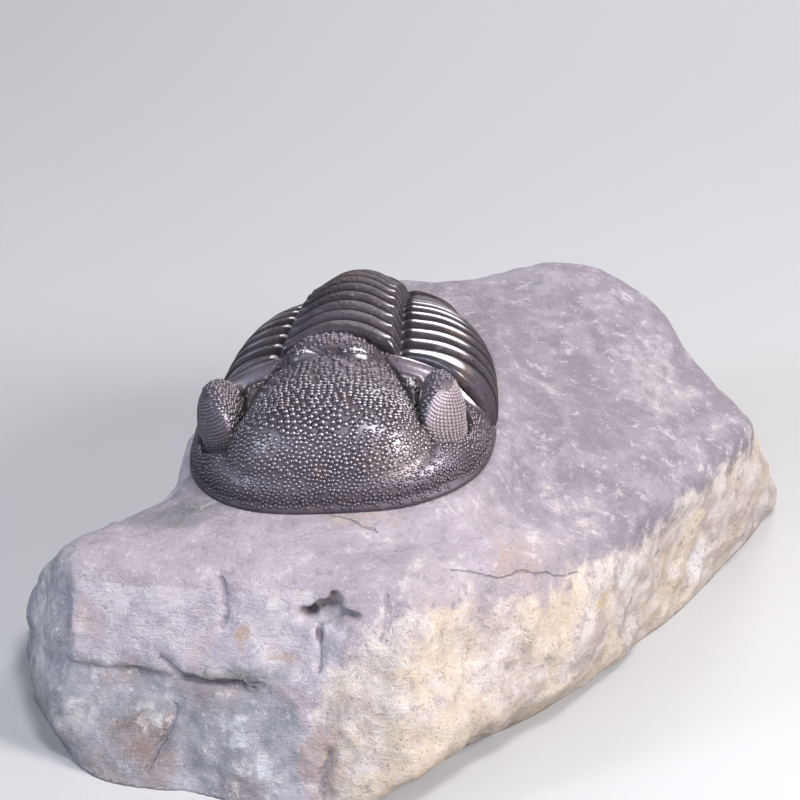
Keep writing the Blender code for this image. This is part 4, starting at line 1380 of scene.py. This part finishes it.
def rock_tree():
    """Roughens the block: broken scales on its sides, small pits and grains all over."""
    inputs = {name: "Float" for name in ROUGHNESS}
    shaper = Shaper("rough stone", {**inputs, "Finish": "Material"})
    where = shaper.add("GeometryNodeInputPosition")
    broken = (shaper.named("cream") + shaper.named("blue")).least(1.0)

    def rough(size, detail, amount):
        sockets = {"Vector": where, "Scale": 1.0 / shaper.given(size), "Detail": detail, "Roughness": amount}
        return shaper.add("ShaderNodeTexNoise", None, sockets) - 0.5

    sockets = {"Vector": where, "Scale": 1.0 / (BEND_SIZE * MM), "Detail": 2.0}
    bend = shaper.add("ShaderNodeTexNoise", None, sockets, "Color")
    bent = shaper.vector("ADD", where, shaper.vector("SCALE", bend, Scale=BEND * MM))
    sockets = {"Vector": bent, "Scale": 1.0 / shaper.given("Scale size"), "Smoothness": 0.25}
    scales = shaper.add("ShaderNodeTexVoronoi", {"feature": "SMOOTH_F1"}, sockets, "Distance")
    height = (scales - 0.45) * shaper.given("Scale height") * (0.2 + 0.8 * broken)
    height = height + rough("Lump size", 4.0, 0.55) * shaper.given("Lump height") * (0.5 + 0.5 * broken)
    height = height + rough("Grain size", 3.0, 0.6) * shaper.given("Grain height")
    height = height * shaper.named("loose")
    normal = shaper.add("GeometryNodeInputNormal")
    sockets = {"Geometry": shaper.given("Geometry"), "Offset": shaper.vector("SCALE", normal, Scale=height)}
    moved = shaper.add("GeometryNodeSetPosition", None, sockets)
    shaper.close(moved, shaper.given("Finish"))
    return shaper


def rock_block(finish):
    """The block of limestone."""
    points, faces = cut_flat(*skin(rock_field, ROCK_LOW, ROCK_HIGH, ROCK_STEP), ROCK_STEP)
    masks = rock_masks(points)
    slope = slope_of(rock_field, points, 0.1)
    slope /= np.maximum(np.linalg.norm(slope, axis=1), 0.2)[:, None]
    points = points - slope * (cut_depth(points) * masks["loose"])[:, None]
    piece = new_piece("rock_block", points, faces, masks)
    values = {name: size * MM for name, size in ROUGHNESS.items()}
    return rock_tree().run(piece, {**values, "Finish": finish})


def place(azimuth, height, distance, aim):
    """A point at a distance from aim, in a direction in plan and a height in degrees."""
    return aim + Vector(outward(azimuth, height)) * distance


def add_camera():
    """The camera, at the photograph's viewing angle."""
    lens = bpy.data.cameras.new("view")
    lens.sensor_width = SENSOR_WIDTH
    lens.lens = SENSOR_WIDTH * VIEW_DISTANCE / VIEW_WIDTH
    lens.clip_start = 0.001
    camera = add_object("view", lens)
    aim = Vector(WORLD_SHIFT) + Vector((0.0, 0.0, AIM_HEIGHT))
    camera.location = place(-90.0, VIEW_TILT, VIEW_DISTANCE, aim) * MM
    camera.rotation_euler = (math.radians(90.0 - VIEW_TILT), 0.0, 0.0)
    bpy.context.scene.camera = camera


def add_lamps():
    """Soft lamps on all sides, and a dim sky."""
    aim = Vector((0.0, 0.0, LAMP_AIM))
    for name, azimuth, height, size, distance, watts, colour, serves in LAMPS:
        light = bpy.data.lights.new(name, "AREA")
        light.shape = "DISK"
        light.size = size * MM
        light.energy = watts
        light.color = colour
        lamp = add_object(name, light)
        spot = place(azimuth, height, distance, aim)
        lamp.visible_glossy = serves != "plain"
        lamp.visible_diffuse = serves != "gloss"
        lamp.location = spot * MM
        lamp.rotation_euler = (spot - aim).to_track_quat("Z", "Y").to_euler()
    world = bpy.data.worlds.new("sky")
    world.use_nodes = True
    world.node_tree.nodes["Background"].inputs["Color"].default_value = (*SKY, 1.0)
    bpy.context.scene.world = world


def add_floor():
    """The plain pale floor."""
    mesh = bpy.data.meshes.new("floor")
    half = 0.5 * FLOOR_SIZE * MM
    corners = [(-half, -half, 0), (half, -half, 0), (half, half, 0), (-half, half, 0)]
    mesh.from_pydata(corners, [], [(0, 1, 2, 3)])
    mesh.materials.append(floor_finish())
    add_object("floor", mesh)


def settle(piece, node):
    """Puts a finished piece under the root body and hides the part of the frame that it takes the place of.
    """
    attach(piece, "root")
    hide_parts(node)


add_camera()
add_lamps()
add_floor()
settle(cephalon_shell(calcite_finish("head finish", 0.55, 0.30)), "cephalon")
calcite = calcite_finish("dark calcite finish", 0.12, 0.20)
for ring_number in range(SEGMENTS):
    settle(thorax_ring(ring_number, calcite), f"thoracic_segment_{ring_number + 1:02d}")
settle(tail_shield(calcite), "pygidium")
settle(rock_block(limestone_finish()), "matrix_rock")
bpy.context.scene.view_settings.view_transform = "Standard"
